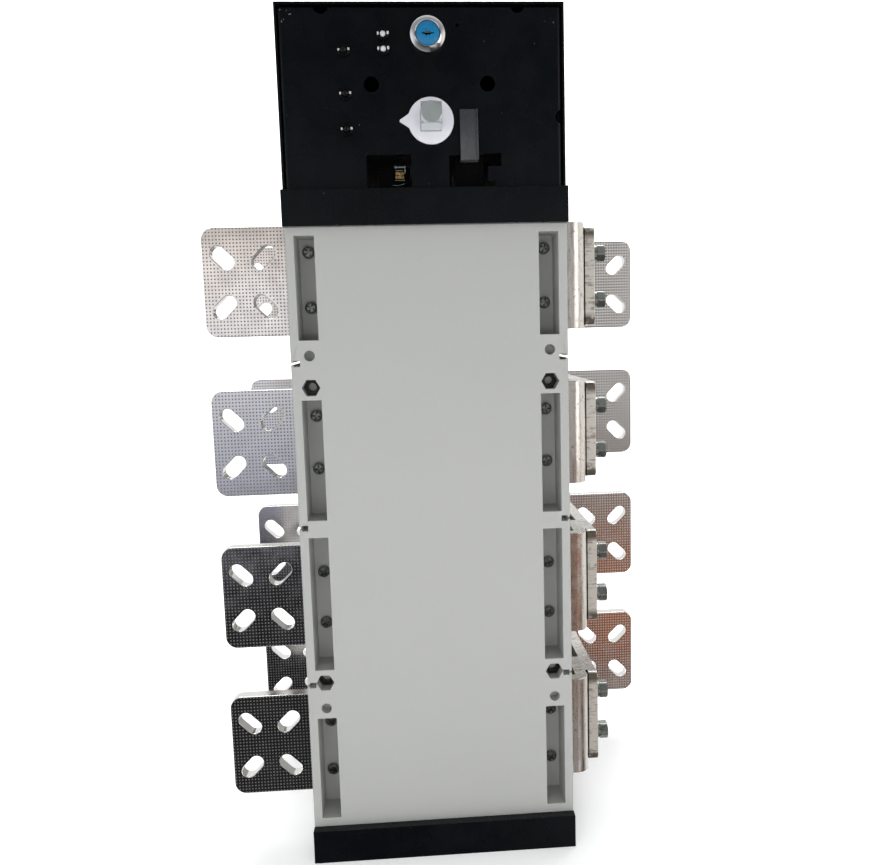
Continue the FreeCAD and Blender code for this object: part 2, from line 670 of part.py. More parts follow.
def make_lower_frame():
    depth = "(body_depth + 2 * frame_overhang)"
    front = "0 - body_depth / 2 - frame_overhang"
    left = "0 - body_width / 2"
    parts = [block(left, front, "0", "body_width", depth, "frame_sheet")]
    for y in (front, "body_depth / 2 + frame_overhang - frame_sheet"):
        parts.append(block(left, y, "0", "body_width", "frame_sheet", "base_height"))
    for y in (front, "body_depth / 2"):
        parts.append(block(left, y, "base_height - frame_sheet", "body_width", "frame_overhang",
                           "frame_sheet"))
    for x in (left, "body_width / 2 - frame_sheet"):
        parts.append(block(x, front, "0", "frame_sheet", depth, "stack_low - 2"))
    for side in (-1, 1):
        for end in (-1, 1):
            parts.append(rod("z", f"{side} * rod_x", f"{end} * rod_y", "0", "spacer_radius",
                             "stack_low"))
            parts.append(rod("z", f"{side} * rod_x", f"{end} * bar_front", "0", "spacer_radius",
                             "stack_low"))
    holes = [rod("z", f"{side} * rod_x", f"{end} * rod_y", "frame_sheet", "rod_radius + 0.1",
                 "stack_low") for side in (-1, 1) for end in (-1, 1)]
    return cut(fuse(*parts), *holes)


def make_upper_frame():
    depth = "(body_depth + 2 * frame_overhang)"
    front = "0 - body_depth / 2 - frame_overhang"
    left = "0 - body_width / 2"
    parts = [block(left, front, "stack_high", "body_width", depth, "web")]
    for y in (front, "body_depth / 2 + frame_overhang - frame_sheet"):
        parts.append(block(left, y, "lip_low", "body_width", "frame_sheet", "stack_high - lip_low + 1"))
    for y in (front, "body_depth / 2"):
        parts.append(block(left, y, "lip_low", "body_width", "frame_overhang", "frame_sheet"))
    for x in ("0 - box_half + sheet", "box_half - sheet - side_tab"):
        parts.append(block(x, "0 - side_tab_half", "stack_high", "side_tab", "2 * side_tab_half",
                           "web + side_tab_height"))
    holes = [rod("z", "0", f"{end} * shaft_y", "stack_high - 1", "bush_radius + 0.1", "web + 2")
             for end in (-1, 1)]
    for side in (-1, 1):
        for end in (-1, 1):
            holes.append(rod("z", f"{side} * rod_x", f"{end} * rod_y", "stack_high - 1",
                             "rod_radius + 0.2", "web + 2"))
            holes.append(rod("x", f"{side} * (box_half - 2.5) - 2.5", f"{end} * box_screw_y",
                             "box_screw_z", "box_screw_shank + 0.1", "5"))
    parts.append(make_strip_guide())
    return cut(fuse(*parts), *holes)


def make_tie_rods():
    return group(*[rod("z", f"{side} * rod_x", f"{end} * rod_y", "4", "rod_radius",
                       "stack_high + web + 8") for side in (-1, 1) for end in (-1, 1)])


def make_tie_nuts():
    nuts = []
    for side in (-1, 1):
        for end in (-1, 1):
            x, y, z = f"{side} * rod_x", f"{end} * rod_y", "stack_high + web"
            nut = fuse(rod("z", x, y, z, "rod_washer", "rod_washer_thick"),
                       hexagon("z", x, y, f"{z} + rod_washer_thick", "rod_nut", "rod_nut_height"))
            nuts.append(cut(nut, rod("z", x, y, f"{z} - 1", "rod_radius + 0.1",
                                     "rod_nut_height + rod_washer_thick + 2")))
    return group(*nuts)


# ---------------------------------------------------------------- mechanism box

def make_box_cover():
    front, depth = "0 - plate_front", "plate_front + panel_back"
    height = "box_high - box_low"
    shell = fuse(block("0 - box_half", front, "box_low", "sheet", depth, height),
                 block("box_half - sheet", front, "box_low", "sheet", depth, height),
                 block("0 - box_half", front, "box_high - sheet", "2 * box_half", depth, "sheet"))
    holes = [rod("x", f"{side} * (box_half - 2.5) - 2.5", f"{end} * box_screw_y", "box_screw_z",
                 "box_screw_hole", "5") for side in (-1, 1) for end in (-1, 1)]
    return cut(shell, *holes)


def make_box_screws():
    """Low button-head screws that hold the cover's sides to the upper end frame."""
    screws = []
    for side in (-1, 1):
        for end in (-1, 1):
            y, z = f"{end} * box_screw_y", "box_screw_z"
            head_x = "box_half" if side > 0 else "0 - box_half - box_screw_rise"
            shank_x = "box_half - 5" if side > 0 else "0 - box_half - 1"
            screws.append(fuse(rod("x", head_x, y, z, "box_screw_head", "box_screw_rise"),
                               rod("x", shank_x, y, z, "box_screw_shank", "6")))
    return group(*screws)


def make_front_plate():
    body = new_body("plate")
    outline = sketch_on(body, "XY_Plane", "box_low")
    rectangle(outline, "0 - plate_half", "0 - plate_front", "2 * plate_half", "plate_flange")
    pad(body, outline, "plate_high - box_low")
    round_edges(body, "plate_bend", lambda edge: along(edge, AXIS_Z)
                and edge.CenterOfMass.y < -size("plate_front") + 1)
    inside = sketch_on(body, "XY_Plane", "plate_high")
    rectangle(inside, "0 - plate_half + plate_sheet", "0 - plate_front + plate_sheet",
              "2 * (plate_half - plate_sheet)", "plate_flange")
    pocket(body, inside, "plate_high - box_low")
    openings = (
        ("0 - left_window_x", "box_low + 1", "left_window", "window_high - box_low - 1"),
        ("right_window_x", "box_low + 1", "right_window", "window_high - box_low - 2"),
        ("side_window_x", "side_window_low", "side_window", "side_window_tall"),
        ("foot_window_x", "box_low + 1", "foot_window", "foot_window_tall"),
    )
    for opening in openings:
        outline = sketch_on(body, "XZ_Plane", "plate_front")
        rectangle(outline, *opening)
        pocket(body, outline, "plate_sheet")
    holes = sketch_on(body, "XZ_Plane", "plate_front")
    circle(holes, "shaft_x", "shaft_z", "shaft_bush + 0.1")
    circle(holes, "lock_x", "lock_z", "lock_body + 0.1")
    for side_of in (-1, 1):
        circle(holes, f"shaft_x + {side_of} * hole_x", "hole_z", "hole_radius")
    for height in ("lamp_z", "lamp_z - lamp_pitch"):
        circle(holes, "0 - lamp_x", height, "bezel_radius - 0.7")
    for number in (1, 2, 3):
        circle(holes, "0 - dark_x", f"dark_z_{number}", "bezel_radius - 0.7")
    circle(holes, "pin_hole_x", "pin_hole_z", "pin_hole_radius")
    pocket(body, holes, "plate_sheet")
    notches = [rod("y", f"top_notch_{number}", "0 - plate_front - 1", "plate_high + 1",
                   f"top_notch_radius_{number}", "plate_sheet + 2") for number in (1, 2)]
    notches.append(rod("y", "plate_half + 0.5", "0 - plate_front - 1", "edge_notch_z",
                       "edge_notch_radius", "plate_sheet + 6"))
    return cut(body, *notches)


def make_operating_shaft():
    x, z = "shaft_x", "shaft_z"
    square = cut(block(f"{x} - square / 2", "0 - shaft_front", f"{z} - square / 2", "square",
                       "shaft_front - plate_front - 0.2", "square"),
                 cut(block(f"{x} - square", "0 - shaft_front - 1", f"{z} - square", "2 * square",
                           "3", "2 * square"),
                     cone("y", x, "0 - shaft_front - 1", z, "6.2", "9.4", "4")))
    return fuse(square,
                rod("y", x, "0 - plate_front - 0.3", z, "shaft_round - 0.05", "15.8"),
                rod("y", x, "0 - plate_front + 15", z, "shaft_neck - 0.05",
                    "plate_front - 15 + bracket_y + bracket_sheet + 6"))


def make_shaft_bush():
    """Bearing ring of the operating shaft in the front plate."""
    ring = fuse(rod("y", "shaft_x", "0 - plate_front", "shaft_z", "shaft_bush", "9"),
                rod("y", "shaft_x", "0 - plate_front + plate_sheet", "shaft_z", "13", "2"))
    return cut(ring, rod("y", "shaft_x", "0 - plate_front - 1", "shaft_z", "shaft_round", "12"))


def make_rear_shaft_bush():
    ring = fuse(rod("y", "shaft_x", "bracket_y - 3", "shaft_z", "8", "bracket_sheet + 5"),
                rod("y", "shaft_x", "bracket_y - 2", "shaft_z", "10", "2"))
    return cut(ring, rod("y", "shaft_x", "bracket_y - 5", "shaft_z", "shaft_neck", "14"))


def make_disc():
    """Round disc with a drop-shaped pointer, on the square of the shaft."""
    radius, tip = size("disc_radius"), size("pointer")
    x, z = size("shaft_x"), size("shaft_z")
    front = -size("plate_front") - 1 - size("disc")
    half = math.radians(17.5)
    low = Vector(x - radius * math.cos(half), front, z - radius * math.sin(half))
    high = Vector(x - radius * math.cos(half), front, z + radius * math.sin(half))
    nose_low = Vector(x - tip + 0.6, front, z - 0.9)
    nose_high = Vector(x - tip + 0.6, front, z + 0.9)
    edges = [Part.Arc(low, Vector(x + radius, front, z), high).toShape(),
             Part.LineSegment(high, nose_high).toShape(),
             Part.Arc(nose_high, Vector(x - tip, front, z), nose_low).toShape(),
             Part.LineSegment(nose_low, low).toShape()]
    face = Part.Face(Part.Wire(edges))
    plate = feature(face.extrude(Vector(0, size("disc"), 0)))
    hole = block("shaft_x - square / 2 - 0.05", "0 - plate_front - 6", "shaft_z - square / 2 - 0.05",
                 "square + 0.1", "8", "square + 0.1")
    return cut(plate, hole)


def involute(base, angle):
    """A point on the involute of a base circle, for a given roll angle."""
    return (base * (math.cos(angle) + angle * math.sin(angle)),
            base * (math.sin(angle) - angle * math.cos(angle)))


def gear_face(teeth):
    """Involute gear in the XY plane with a tooth gap centred on +Y."""
    module, pressure = size("module"), math.radians(20)
    pitch = module * teeth / 2
    base, root, tip = pitch * math.cos(pressure), pitch - 1.2 * module, pitch + 0.8 * module
    roll = math.tan(pressure)
    half_tooth = math.pi / 2 / teeth - size("play") / 2 / pitch + (roll - pressure)
    flank = []
    for step in range(6):
        roll_at = math.sqrt((tip / base) ** 2 - 1) * step / 5
        flank.append(involute(base, roll_at))
    points = []
    for tooth in range(teeth):
        centre = math.pi / 2 + (tooth + 0.5) * 2 * math.pi / teeth
        rising = [(root, 0.0)] + flank if root < base else flank
        for x, y in rising:
            radius, swing = math.hypot(x, y), math.atan2(y, x)
            points.append((radius, centre - half_tooth + swing))
        for x, y in reversed(rising):
            radius, swing = math.hypot(x, y), math.atan2(y, x)
            points.append((radius, centre + half_tooth - swing))
    ring = [Vector(radius * math.cos(turn), radius * math.sin(turn), 0) for radius, turn in points]
    return Part.Face(Part.makePolygon(ring + [ring[0]]))


def gear(teeth, bore, axis, x, y, z, width, turn=0):
    """A gear wheel that starts at (x, y, z) and runs along +axis."""
    wheel = feature(gear_face(teeth).extrude(Vector(0, 0, width)))
    spin = Rotation(Vector(0, 0, 1), turn)
    stand = Rotation(Vector(1, 0, 0), 90) if axis == "y" else Rotation()
    start = Vector(x, y + (width if axis == "y" else 0), z)
    wheel.Placement = Placement(start, stand.multiply(spin))
    hole = rod(axis, x, y - 1 if axis == "y" else y, z if axis == "y" else z - 1, bore, width + 2)
    return cut(wheel, hole)


def rack_points(half_length, phase):
    """Teeth of a rack along X, pointing to +Y, with a tooth centred on x = phase."""
    module = size("module")
    pitch = math.pi * module
    slope = math.tan(math.radians(20))
    top, bottom = 0.8 * module, -1.15 * module
    half = pitch / 4 - size("play") / 2
    points = []
    count = int(half_length // pitch)
    for tooth in range(-count, count + 1):
        middle = phase + tooth * pitch
        points += [(middle - half + bottom * slope, bottom), (middle - half + top * slope, top),
                   (middle + half - top * slope, top), (middle + half - bottom * slope, bottom)]
    return points


def make_drive_slide():
    """Bar with rack teeth on both long sides and on a raised rib."""
    large = size("module") * size("large_teeth") / 2
    edge = size("shaft_y") - large
    half, low, thick = size("rack_half"), size("rack_low"), size("rack")
    side = rack_points(half, 0)
    outline = [Vector(-half - 1, edge + side[0][1], low)]
    outline += [Vector(x, edge + y, low) for x, y in side]
    outline += [Vector(half + 1, edge + side[0][1], low)]
    outline += [Vector(half + 1, -edge - side[0][1], low)]
    outline += [Vector(x, -edge - y, low) for x, y in reversed(side)]
    outline += [Vector(-half - 1, -edge - side[0][1], low)]
    slab = feature(Part.Face(Part.makePolygon(outline + [outline[0]])).extrude(Vector(0, 0, thick)))
    small = size("module") * size("small_teeth") / 2
    level = size("shaft_z") - small
    front = -size("rib_front")
    top = rack_points(half - 3, size("shaft_x"))
    ridge = [Vector(x, front, level + y) for x, y in top]
    start, end = ridge[0].x - 1, ridge[-1].x + 1
    base = low + thick - 1
    profile = [Vector(start, front, base), Vector(start, front, ridge[0].z)] + ridge
    profile += [Vector(end, front, ridge[-1].z), Vector(end, front, base)]
    rib = feature(Part.Face(Part.makePolygon(profile + [profile[0]]))
                  .extrude(Vector(0, size("rib"), 0)))
    groove = block("0 - rack_half - 3", "0 - 4.1", "rack_low - 1", "2 * rack_half + 6", "8.2", "4.1")
    window = block("0 - rack_half + 8", "4", "rack_low + rack - 2", "2 * rack_half - 16", "20", "3")
    return cut(fuse(slab, rib), groove, window)


def make_slide_rail():
    """Rail under the slide, with an upstanding rib that guides it."""
    return fuse(block("0 - 62", "0 - 16", "box_low", "124", "32", "rack_low - box_low"),
                block("0 - 62", "0 - 4", "rack_low - 1", "124", "8", "4"))


def make_bracket():
    """Upright steel plate that carries the rear end of the shaft and the motor."""
    y = "bracket_y"
    plate = fuse(block("0 - 60", y, "box_low", "146", "bracket_sheet", "94"),
                 block("0 - 60", y, "box_low", "24", "23", "bracket_sheet"),
                 block("36", y, "box_low", "50", "23", "bracket_sheet"))
    return cut(plate, block("0 - 36", f"{y} - 1", "box_low - 1", "72", "30", "25"),
               rod("y", "shaft_x", f"{y} - 1", "shaft_z", "8.05", "6"),
               rod("y", "shaft_x + motor_offset", f"{y} - 1", "shaft_z", "8", "6"))


def make_motor():
    x, z, y = "shaft_x + motor_offset", "shaft_z", "bracket_y + bracket_sheet"
    return fuse(rod("y", x, y, z, "20", "18"), rod("y", x, f"{y} + 18", z, "17.5", "42"),
                rod("y", x, f"{y} + 60", z, "6", "4"), rod("y", x, f"{y} - 2.9", z, "7.5", "4"))


def make_motor_pinion():
    wheel = gear(int(size("small_teeth")), 3, "y", size("shaft_x") + size("motor_offset"), 20,
                 size("shaft_z"), 10, turn=180 / size("small_teeth") + 90)
    return fuse(wheel, rod("y", "shaft_x + motor_offset", "19", "shaft_z", "3.2", "13.9"))


def make_lock_barrel():
    x, z = "lock_x", "lock_z"
    front = "0 - plate_front"
    shape = fuse(cone("y", x, f"{front} - 6.5", z, "lock_face + 1", "lock_ring", "5"),
                 rod("y", x, f"{front} - 1.5", z, "lock_ring", "1.5"),
                 rod("y", x, f"{front} - 1", z, "lock_body", "21"))
    return cut(shape, rod("y", x, f"{front} - 8", z, "lock_face + 0.1", "4.6"),
               rod("y", x, f"{front} - 8", z, "lock_plug + 0.05", "30"))


def make_lock_plug():
    """Turning plug with its face, key slot and the cam behind."""
    x, z = "lock_x", "lock_z"
    front = "0 - plate_front"
    plug = fuse(rod("y", x, f"{front} - 5.9", z, "lock_face", "2.4"),
                rod("y", x, f"{front} - 4", z, "lock_plug", "25.5"),
                block(f"{x} - 5", f"{front} + 20.3", f"{z} - 5", "26", "2", "10"))
    return cut(plug, block(f"{x} - plug_slot / 2", f"{front} - 7", f"{z} - plug_slot_tall / 2",
                           "plug_slot", "8", "plug_slot_tall"))


def make_lock_nut():
    x, z = "lock_x", "lock_z"
    y = "0 - plate_front + plate_sheet"
    return cut(hexagon("y", x, y, z, "24", "4"), rod("y", x, f"{y} - 1", z, "lock_body + 0.05", "6"))


def make_padlock_strip():
    """Flat strip in front of the plate, bent back through the right window."""
    y = "0 - plate_front - 1 - strip_sheet"
    return fuse(block("strip_x", y, "strip_low", "strip", "strip_sheet", "strip_high - strip_low"),
                block("strip_x", y, "strip_low", "strip", "plate_front + 1 + strip_sheet - strip_tail",
                      "strip_sheet"),
                block("strip_x + strip - 1", f"{y} - 1.5", "strip_low", "1", "2.5",
                      "strip_high - strip_low"))


def make_strip_guide():
    """Welded tab on the upper end frame, with the slot that guides the padlock strip."""
    tab = block("strip_x - 4", "0 - 108", "box_low - 1", "strip + 8", "8", "27")
    return cut(tab, block("strip_x - 0.15", "0 - 109", "strip_low - 0.15", "strip + 0.3", "10",
                          "strip_sheet + 0.3"))


LAMPS = [("0 - lamp_x", "lamp_z"), ("0 - lamp_x", "lamp_z - lamp_pitch"),
         ("0 - dark_x", "dark_z_1"), ("0 - dark_x", "dark_z_2"), ("0 - dark_x", "dark_z_3")]


def make_bezels():
    rings = []
    for x, z in LAMPS:
        collar = fuse(cone("y", x, "0 - plate_front - 2.4", z, "bezel_radius - 0.5", "bezel_radius", "1"),
                      rod("y", x, "0 - plate_front - 1.4", z, "bezel_radius", "1.4"),
                      rod("y", x, "0 - plate_front - 1", z, "bezel_radius - 0.8", "13"))
        rings.append(cut(collar, rod("y", x, "0 - plate_front - 3", z, "lens_radius + 0.1", "20")))
    return group(*rings)


def make_lenses():
    domes = []
    for x, z in LAMPS:
        stem = rod("y", x, "0 - plate_front - 1.6", z, "lens_radius", "12")
        ball = doc.addObject("Part::Sphere", fresh("dome"))
        bind(ball, Radius="lens_radius")
        place(ball, x, "0 - plate_front - 1.6", z)
        domes.append(fuse(stem, ball))
    return group(*domes)


def make_auxiliary_switch():
    """Small signalling switch behind the left window: case, steel clip and brass stud."""
    case = block("0 - 33", "0 - 102", "box_low", "22", "18", "17")
    clip = fuse(block("0 - 22.5", "0 - 105", "box_low + 14.5", "8", "3", "4"),
                block("0 - 22.5", "0 - 105", "box_low + 17.2", "8", "12", "1.3"))
    stud = rod("y", "0 - 18.5", "0 - 109", "box_low + 10.5", "3.2", "7")
    return group(case, clip, stud)


# ---------------------------------------------------------------- assembly

def build():
    cover = node("front_cover", make_cover())
    node("rear_cover", mirror(cover))
    housing = node("front_housing", make_housing())
    node("rear_housing", mirror(housing))
    places = [(side, pole, step) for side in (-1, 1) for pole in POLES for step in (-1, 1)]
    front_screws = [make_cover_screw(*spot) for spot in places]
    node("cover_screws", group(*front_screws, *[mirror(screw) for screw in front_screws]))
    front_nuts = [make_recess_nut(side, height) for side in (-1, 1)
                  for height in ("recess_low", "recess_high")]
    node("recess_nuts", group(*front_nuts, *[mirror(nut) for nut in front_nuts]))
    node("lower_end_frame", make_lower_frame())
    node("upper_end_frame", make_upper_frame())
    node("tie_rods", make_tie_rods())
    node("tie_nuts", make_tie_nuts())

    bolts, nuts = [], []
    for pole in POLES:
        line = node(f"front_line_terminal_{pole}", make_bar(pole, -1, "line_reach", "line_pad_start"))
        node(f"rear_line_terminal_{pole}", mirror(line))
        node(f"front_load_stub_{pole}", make_stub(pole))
        node(f"bridging_bar_{pole}", make_bridge(pole))
        load = make_bar(pole, 1, "load_reach", "load_pad_start")
        node(f"rear_load_terminal_{pole}", mirror(load))
        for row in (-1, 1):
            z = f"{pole_z(pole)} + {row} * bolt_row"
            grip = "2 * bar_thick"
            bolts.append(make_bolt("x", "stub_reach + bar_thick", "0 - bolt_y", z, grip, 1))
            nuts.append(make_nut("x", "stub_reach - bar_thick - nut_height", "0 - bolt_y", z))
            bolts.append(make_bolt("y", "rear_bolt_x", f"bar_front - {grip}", z, grip, -1))
            nuts.append(make_nut("y", "rear_bolt_x", "bar_front", z))
    node("bridge_bolts", group(*bolts))
    node("bridge_nuts", group(*nuts))

    blades = node("front_blades", make_blades())
    drums = node("front_rotors", make_drums())
    shaft = node("front_contact_shaft", make_contact_shaft())
    front_bushes = [make_bush("17", "17"), make_bush("490", "stack_high + web")]
    node("shaft_bushes", group(make_shaft_bush(), make_rear_shaft_bush(), *front_bushes,
                               *[mirror(bush) for bush in front_bushes]))
    # The rear rotor is turned the same way as the front one, so it is moved, not mirrored.
    for name, source in (("rear_blades", blades), ("rear_rotors", drums),
                         ("rear_contact_shaft", shaft)):
        link = doc.addObject("Part::Compound", fresh("moved"))
        link.Links = [source]
        link.setExpression("Placement.Base.y", formula("2 * shaft_y"))
        node(name, link)
    chutes = make_arc_chutes()
    node("arc_chutes", group(chutes, mirror(mirror(chutes), AXIS_X)))

    large, small = int(size("large_teeth")), int(size("small_teeth"))
    low, thick, across = size("rack_low"), size("rack"), size("shaft_y")
    node("front_shaft_gear", gear(large, 6.02, "z", 0, -across, low, thick))
    node("rear_shaft_gear", gear(large, 6.02, "z", 0, across, low, thick, turn=180))
    node("drive_slide", make_drive_slide())
    node("slide_rail", make_slide_rail())
    node("operating_shaft", make_operating_shaft())
    x, z = size("shaft_x"), size("shaft_z")
    node("shaft_gears", group(gear(small, 5, "y", x, -size("rib_front"), z, size("rib"), turn=180),
                              gear(large, 5, "y", x, 20, z, 10, turn=-90)))
    node("mechanism_bracket", make_bracket())
    node("drive_motor", make_motor())
    node("motor_pinion", make_motor_pinion())

    node("box_cover", make_box_cover())
    node("box_screws", make_box_screws())
    node("rear_panel", block("0 - box_half + sheet", "panel_back - sheet", "box_low",
                             "2 * (box_half - sheet)", "sheet", "box_high - box_low - sheet"))
    node("front_plate", make_front_plate())
    node("indicator_disc", make_disc())
    node("lock_barrel", group(make_lock_barrel(), make_lock_nut()))
    node("lock_plug", make_lock_plug())
    node("padlock_strip", make_padlock_strip())
    node("lamp_bezels", make_bezels())
    node("lamp_lenses", make_lenses())
    node("auxiliary_switch", make_auxiliary_switch())


def check_document():
    doc.recompute()
    for obj in doc.Objects:
        if "Invalid" in obj.State or "Error" in obj.State:
            raise RuntimeError(f"{obj.Name} ({obj.Label}) failed: {obj.State}")
    for name, obj in NODES.items():
        if obj.Shape.isNull() or not obj.Shape.isValid() or not obj.Shape.Solids:
            raise RuntimeError(f"{name} has no valid solid")


build()
check_document()
os.makedirs("parts", exist_ok=True)
for name, obj in NODES.items():
    obj.Shape.exportStep(f"parts/{name}.step")
print(len(NODES), "nodes")
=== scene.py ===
"""Looks of the four-pole changeover switch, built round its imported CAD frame.

Lengths in the shape makers are in millimetres of the CAD frame: +Z up, front -Y, load side +X.
"""

import json
import math
import random

import bmesh
import bpy
from mathutils import Matrix, Vector

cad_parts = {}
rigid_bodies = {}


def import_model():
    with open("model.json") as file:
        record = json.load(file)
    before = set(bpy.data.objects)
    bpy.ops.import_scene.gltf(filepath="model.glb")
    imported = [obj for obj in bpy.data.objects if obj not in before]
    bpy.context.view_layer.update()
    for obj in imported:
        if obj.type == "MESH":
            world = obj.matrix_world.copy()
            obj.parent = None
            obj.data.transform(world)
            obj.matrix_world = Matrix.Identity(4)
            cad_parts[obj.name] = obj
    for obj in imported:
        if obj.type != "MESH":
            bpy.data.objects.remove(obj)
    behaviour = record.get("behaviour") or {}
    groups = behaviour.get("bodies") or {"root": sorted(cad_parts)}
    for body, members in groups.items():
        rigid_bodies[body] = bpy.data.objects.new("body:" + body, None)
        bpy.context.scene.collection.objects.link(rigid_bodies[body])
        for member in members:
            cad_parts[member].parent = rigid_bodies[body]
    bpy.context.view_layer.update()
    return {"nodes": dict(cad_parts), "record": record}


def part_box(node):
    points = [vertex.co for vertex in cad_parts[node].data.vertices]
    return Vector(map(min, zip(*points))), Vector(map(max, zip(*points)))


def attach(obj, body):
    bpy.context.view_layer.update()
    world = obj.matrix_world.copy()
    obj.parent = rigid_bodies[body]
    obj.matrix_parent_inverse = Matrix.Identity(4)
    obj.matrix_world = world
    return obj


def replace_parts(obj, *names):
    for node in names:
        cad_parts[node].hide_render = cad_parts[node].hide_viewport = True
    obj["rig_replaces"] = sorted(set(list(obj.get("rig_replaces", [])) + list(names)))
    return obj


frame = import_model()

MM = 0.001
POLE_Z = {1: 78, 2: 198, 3: 318, 4: 438}
SLOT_OF = {part["node"]: part["material_slot"] for part in frame["record"]["subparts"]}
BODY_OF = {node: body for body, nodes in frame["record"]["behaviour"]["bodies"].items()
           for node in nodes}


# ---------------------------------------------------------------- materials

class Look:
    """A procedural material: one Principled shader and the nodes that feed it."""

    def __init__(self, name, color, roughness, metallic=0.0, **fixed):
        self.material = bpy.data.materials.new(name)
        self.material.use_nodes = True
        self.tree = self.material.node_tree
        self.shader = self.tree.nodes["Principled BSDF"]
        self.set("Base Color", (*color, 1))
        self.set("Roughness", roughness)
        self.set("Metallic", metallic)
        for words, value in fixed.items():
            self.set(words.replace("_", " ").title().replace("Ior", "IOR"), value)
        self.place = self.tree.nodes.new("ShaderNodeTexCoord").outputs["Object"]
        self.bumped = None

    def set(self, socket, value):
        self.shader.inputs[socket].default_value = value

    def link(self, source, target):
        self.tree.links.new(source, target)

    def stretched(self, scale, turn=(0, 0, 0)):
        """Object coordinates, turned and then scaled along each axis."""
        node = self.tree.nodes.new("ShaderNodeMapping")
        self.link(self.place, node.inputs["Vector"])
        node.inputs["Rotation"].default_value = turn
        node.inputs["Scale"].default_value = scale
        return node.outputs["Vector"]

    def split(self):
        """Sockets with the X, Y and Z of the object coordinates."""
        node = self.tree.nodes.new("ShaderNodeSeparateXYZ")
        self.link(self.place, node.inputs["Vector"])
        return node.outputs

    def noise(self, scale, detail, rough=0.55, where=None):
        node = self.tree.nodes.new("ShaderNodeTexNoise")
        self.link(where or self.place, node.inputs["Vector"])
        node.inputs["Scale"].default_value = scale
        node.inputs["Detail"].default_value = detail
        node.inputs["Roughness"].default_value = rough
        return node.outputs["Fac"]

    def cells(self, scale):
        node = self.tree.nodes.new("ShaderNodeTexVoronoi")
        self.link(self.place, node.inputs["Vector"])
        node.inputs["Scale"].default_value = scale
        return node.outputs["Distance"]

    def ramp(self, source, low, high, from_value=0.0, to_value=1.0):
        """source between low and high, as from_value to to_value."""
        node = self.tree.nodes.new("ShaderNodeMapRange")
        self.link(source, node.inputs["Value"])
        for socket, value in (("From Min", low), ("From Max", high),
                              ("To Min", from_value), ("To Max", to_value)):
            node.inputs[socket].default_value = value
        return node.outputs["Result"]

    def math(self, operation, first, second=0):
        node = self.tree.nodes.new("ShaderNodeMath")
        node.operation = operation
        for socket, value in zip(node.inputs, (first, second)):
            if isinstance(value, (int, float)):
                socket.default_value = value
            else:
                self.link(value, socket)
        return node.outputs["Value"]

    def blend_color(self, factor, other):
        """Mixes another colour over what feeds Base Color now."""
        node = self.tree.nodes.new("ShaderNodeMix")
        node.data_type = "RGBA"
        target = self.shader.inputs["Base Color"]
        if target.is_linked:
            self.link(target.links[0].from_socket, node.inputs["A"])
        else:
            node.inputs["A"].default_value = tuple(target.default_value)
        node.inputs["B"].default_value = (*other, 1)
        self.link(factor, node.inputs["Factor"])
        self.link(node.outputs["Result"], target)
        return self

    def roughen(self, factor):
        self.link(factor, self.shader.inputs["Roughness"])

    def bump(self, height, distance, strength):
        """Adds a bump layer on top of those before it; distance is in millimetres."""
        node = self.tree.nodes.new("ShaderNodeBump")
        node.inputs["Strength"].default_value = strength
        node.inputs["Distance"].default_value = distance * MM
        self.link(height, node.inputs["Height"])
        if self.bumped:
            self.link(self.bumped, node.inputs["Normal"])
        self.bumped = node.outputs["Normal"]
        self.link(self.bumped, self.shader.inputs["Normal"])
        return self


def moulding_look():
    look = Look("grey_moulding", (0.412, 0.416, 0.400), 0.46, ior=1.5)
    look.blend_color(look.ramp(look.noise(9, 4), 0.35, 0.7, 0, 0.28), (0.380, 0.384, 0.369))
    look.blend_color(look.ramp(look.noise(320, 2), 0.62, 0.78, 0, 0.25), (0.485, 0.485, 0.47))
    look.roughen(look.ramp(look.noise(38, 5), 0.3, 0.7, 0.40, 0.54))
    look.bump(look.noise(2600, 2), 0.05, 0.35)
    return look.bump(look.noise(26, 2), 0.5, 0.12).material


def powder_look(name="black_powder", color=(0.0022, 0.0031, 0.0042), shine=0.2):
    look = Look(name, color, 0.42, specular_ior_level=shine)
    look.blend_color(look.ramp(look.noise(14, 4), 0.4, 0.7, 0, 0.6), tuple(1.8 * c for c in color))
    dust = look.math("LESS_THAN", look.cells(150), 0.035)
    look.blend_color(look.math("MULTIPLY", dust, look.ramp(look.noise(60, 1), 0.56, 0.6)),
                     (0.22, 0.22, 0.22))
    look.roughen(look.ramp(look.noise(55, 4), 0.3, 0.7, 0.21, 0.33))
    look.bump(look.noise(1500, 3), 0.05, 0.4)
    return look


def plate_look():
    """Powder coat with chips along the plate's two upper corners, and a painted highlight along its
    left bend.
    """
    look = powder_look("black_plate")
    position = look.split()
    across = look.math("ABSOLUTE", position["X"])
    corner = look.math("MULTIPLY", look.ramp(across, 0.084, 0.088),
                       look.ramp(across, 0.0975, 0.094))
    high = look.math("MULTIPLY", look.ramp(position["Z"], 0.606, 0.611),
                     look.ramp(position["Z"], 0.618, 0.6165))
    fleck = look.ramp(look.noise(620, 2), 0.69, 0.72)
    look.blend_color(look.math("MULTIPLY", fleck, look.math("MULTIPLY", corner, high)),
                     (0.55, 0.54, 0.50))
    # Painted highlight: the coat is painted paler along the left bend.
    bend = look.math("MULTIPLY", look.ramp(position["X"], -0.0945, -0.0975),
                     look.ramp(position["Z"], 0.60, 0.56, 0.15, 1))
    look.blend_color(look.math("MULTIPLY", bend, look.ramp(look.noise(40, 3), 0.3, 0.6, 0.3, 0.9)),
                     (0.030, 0.033, 0.036))
    return look.material


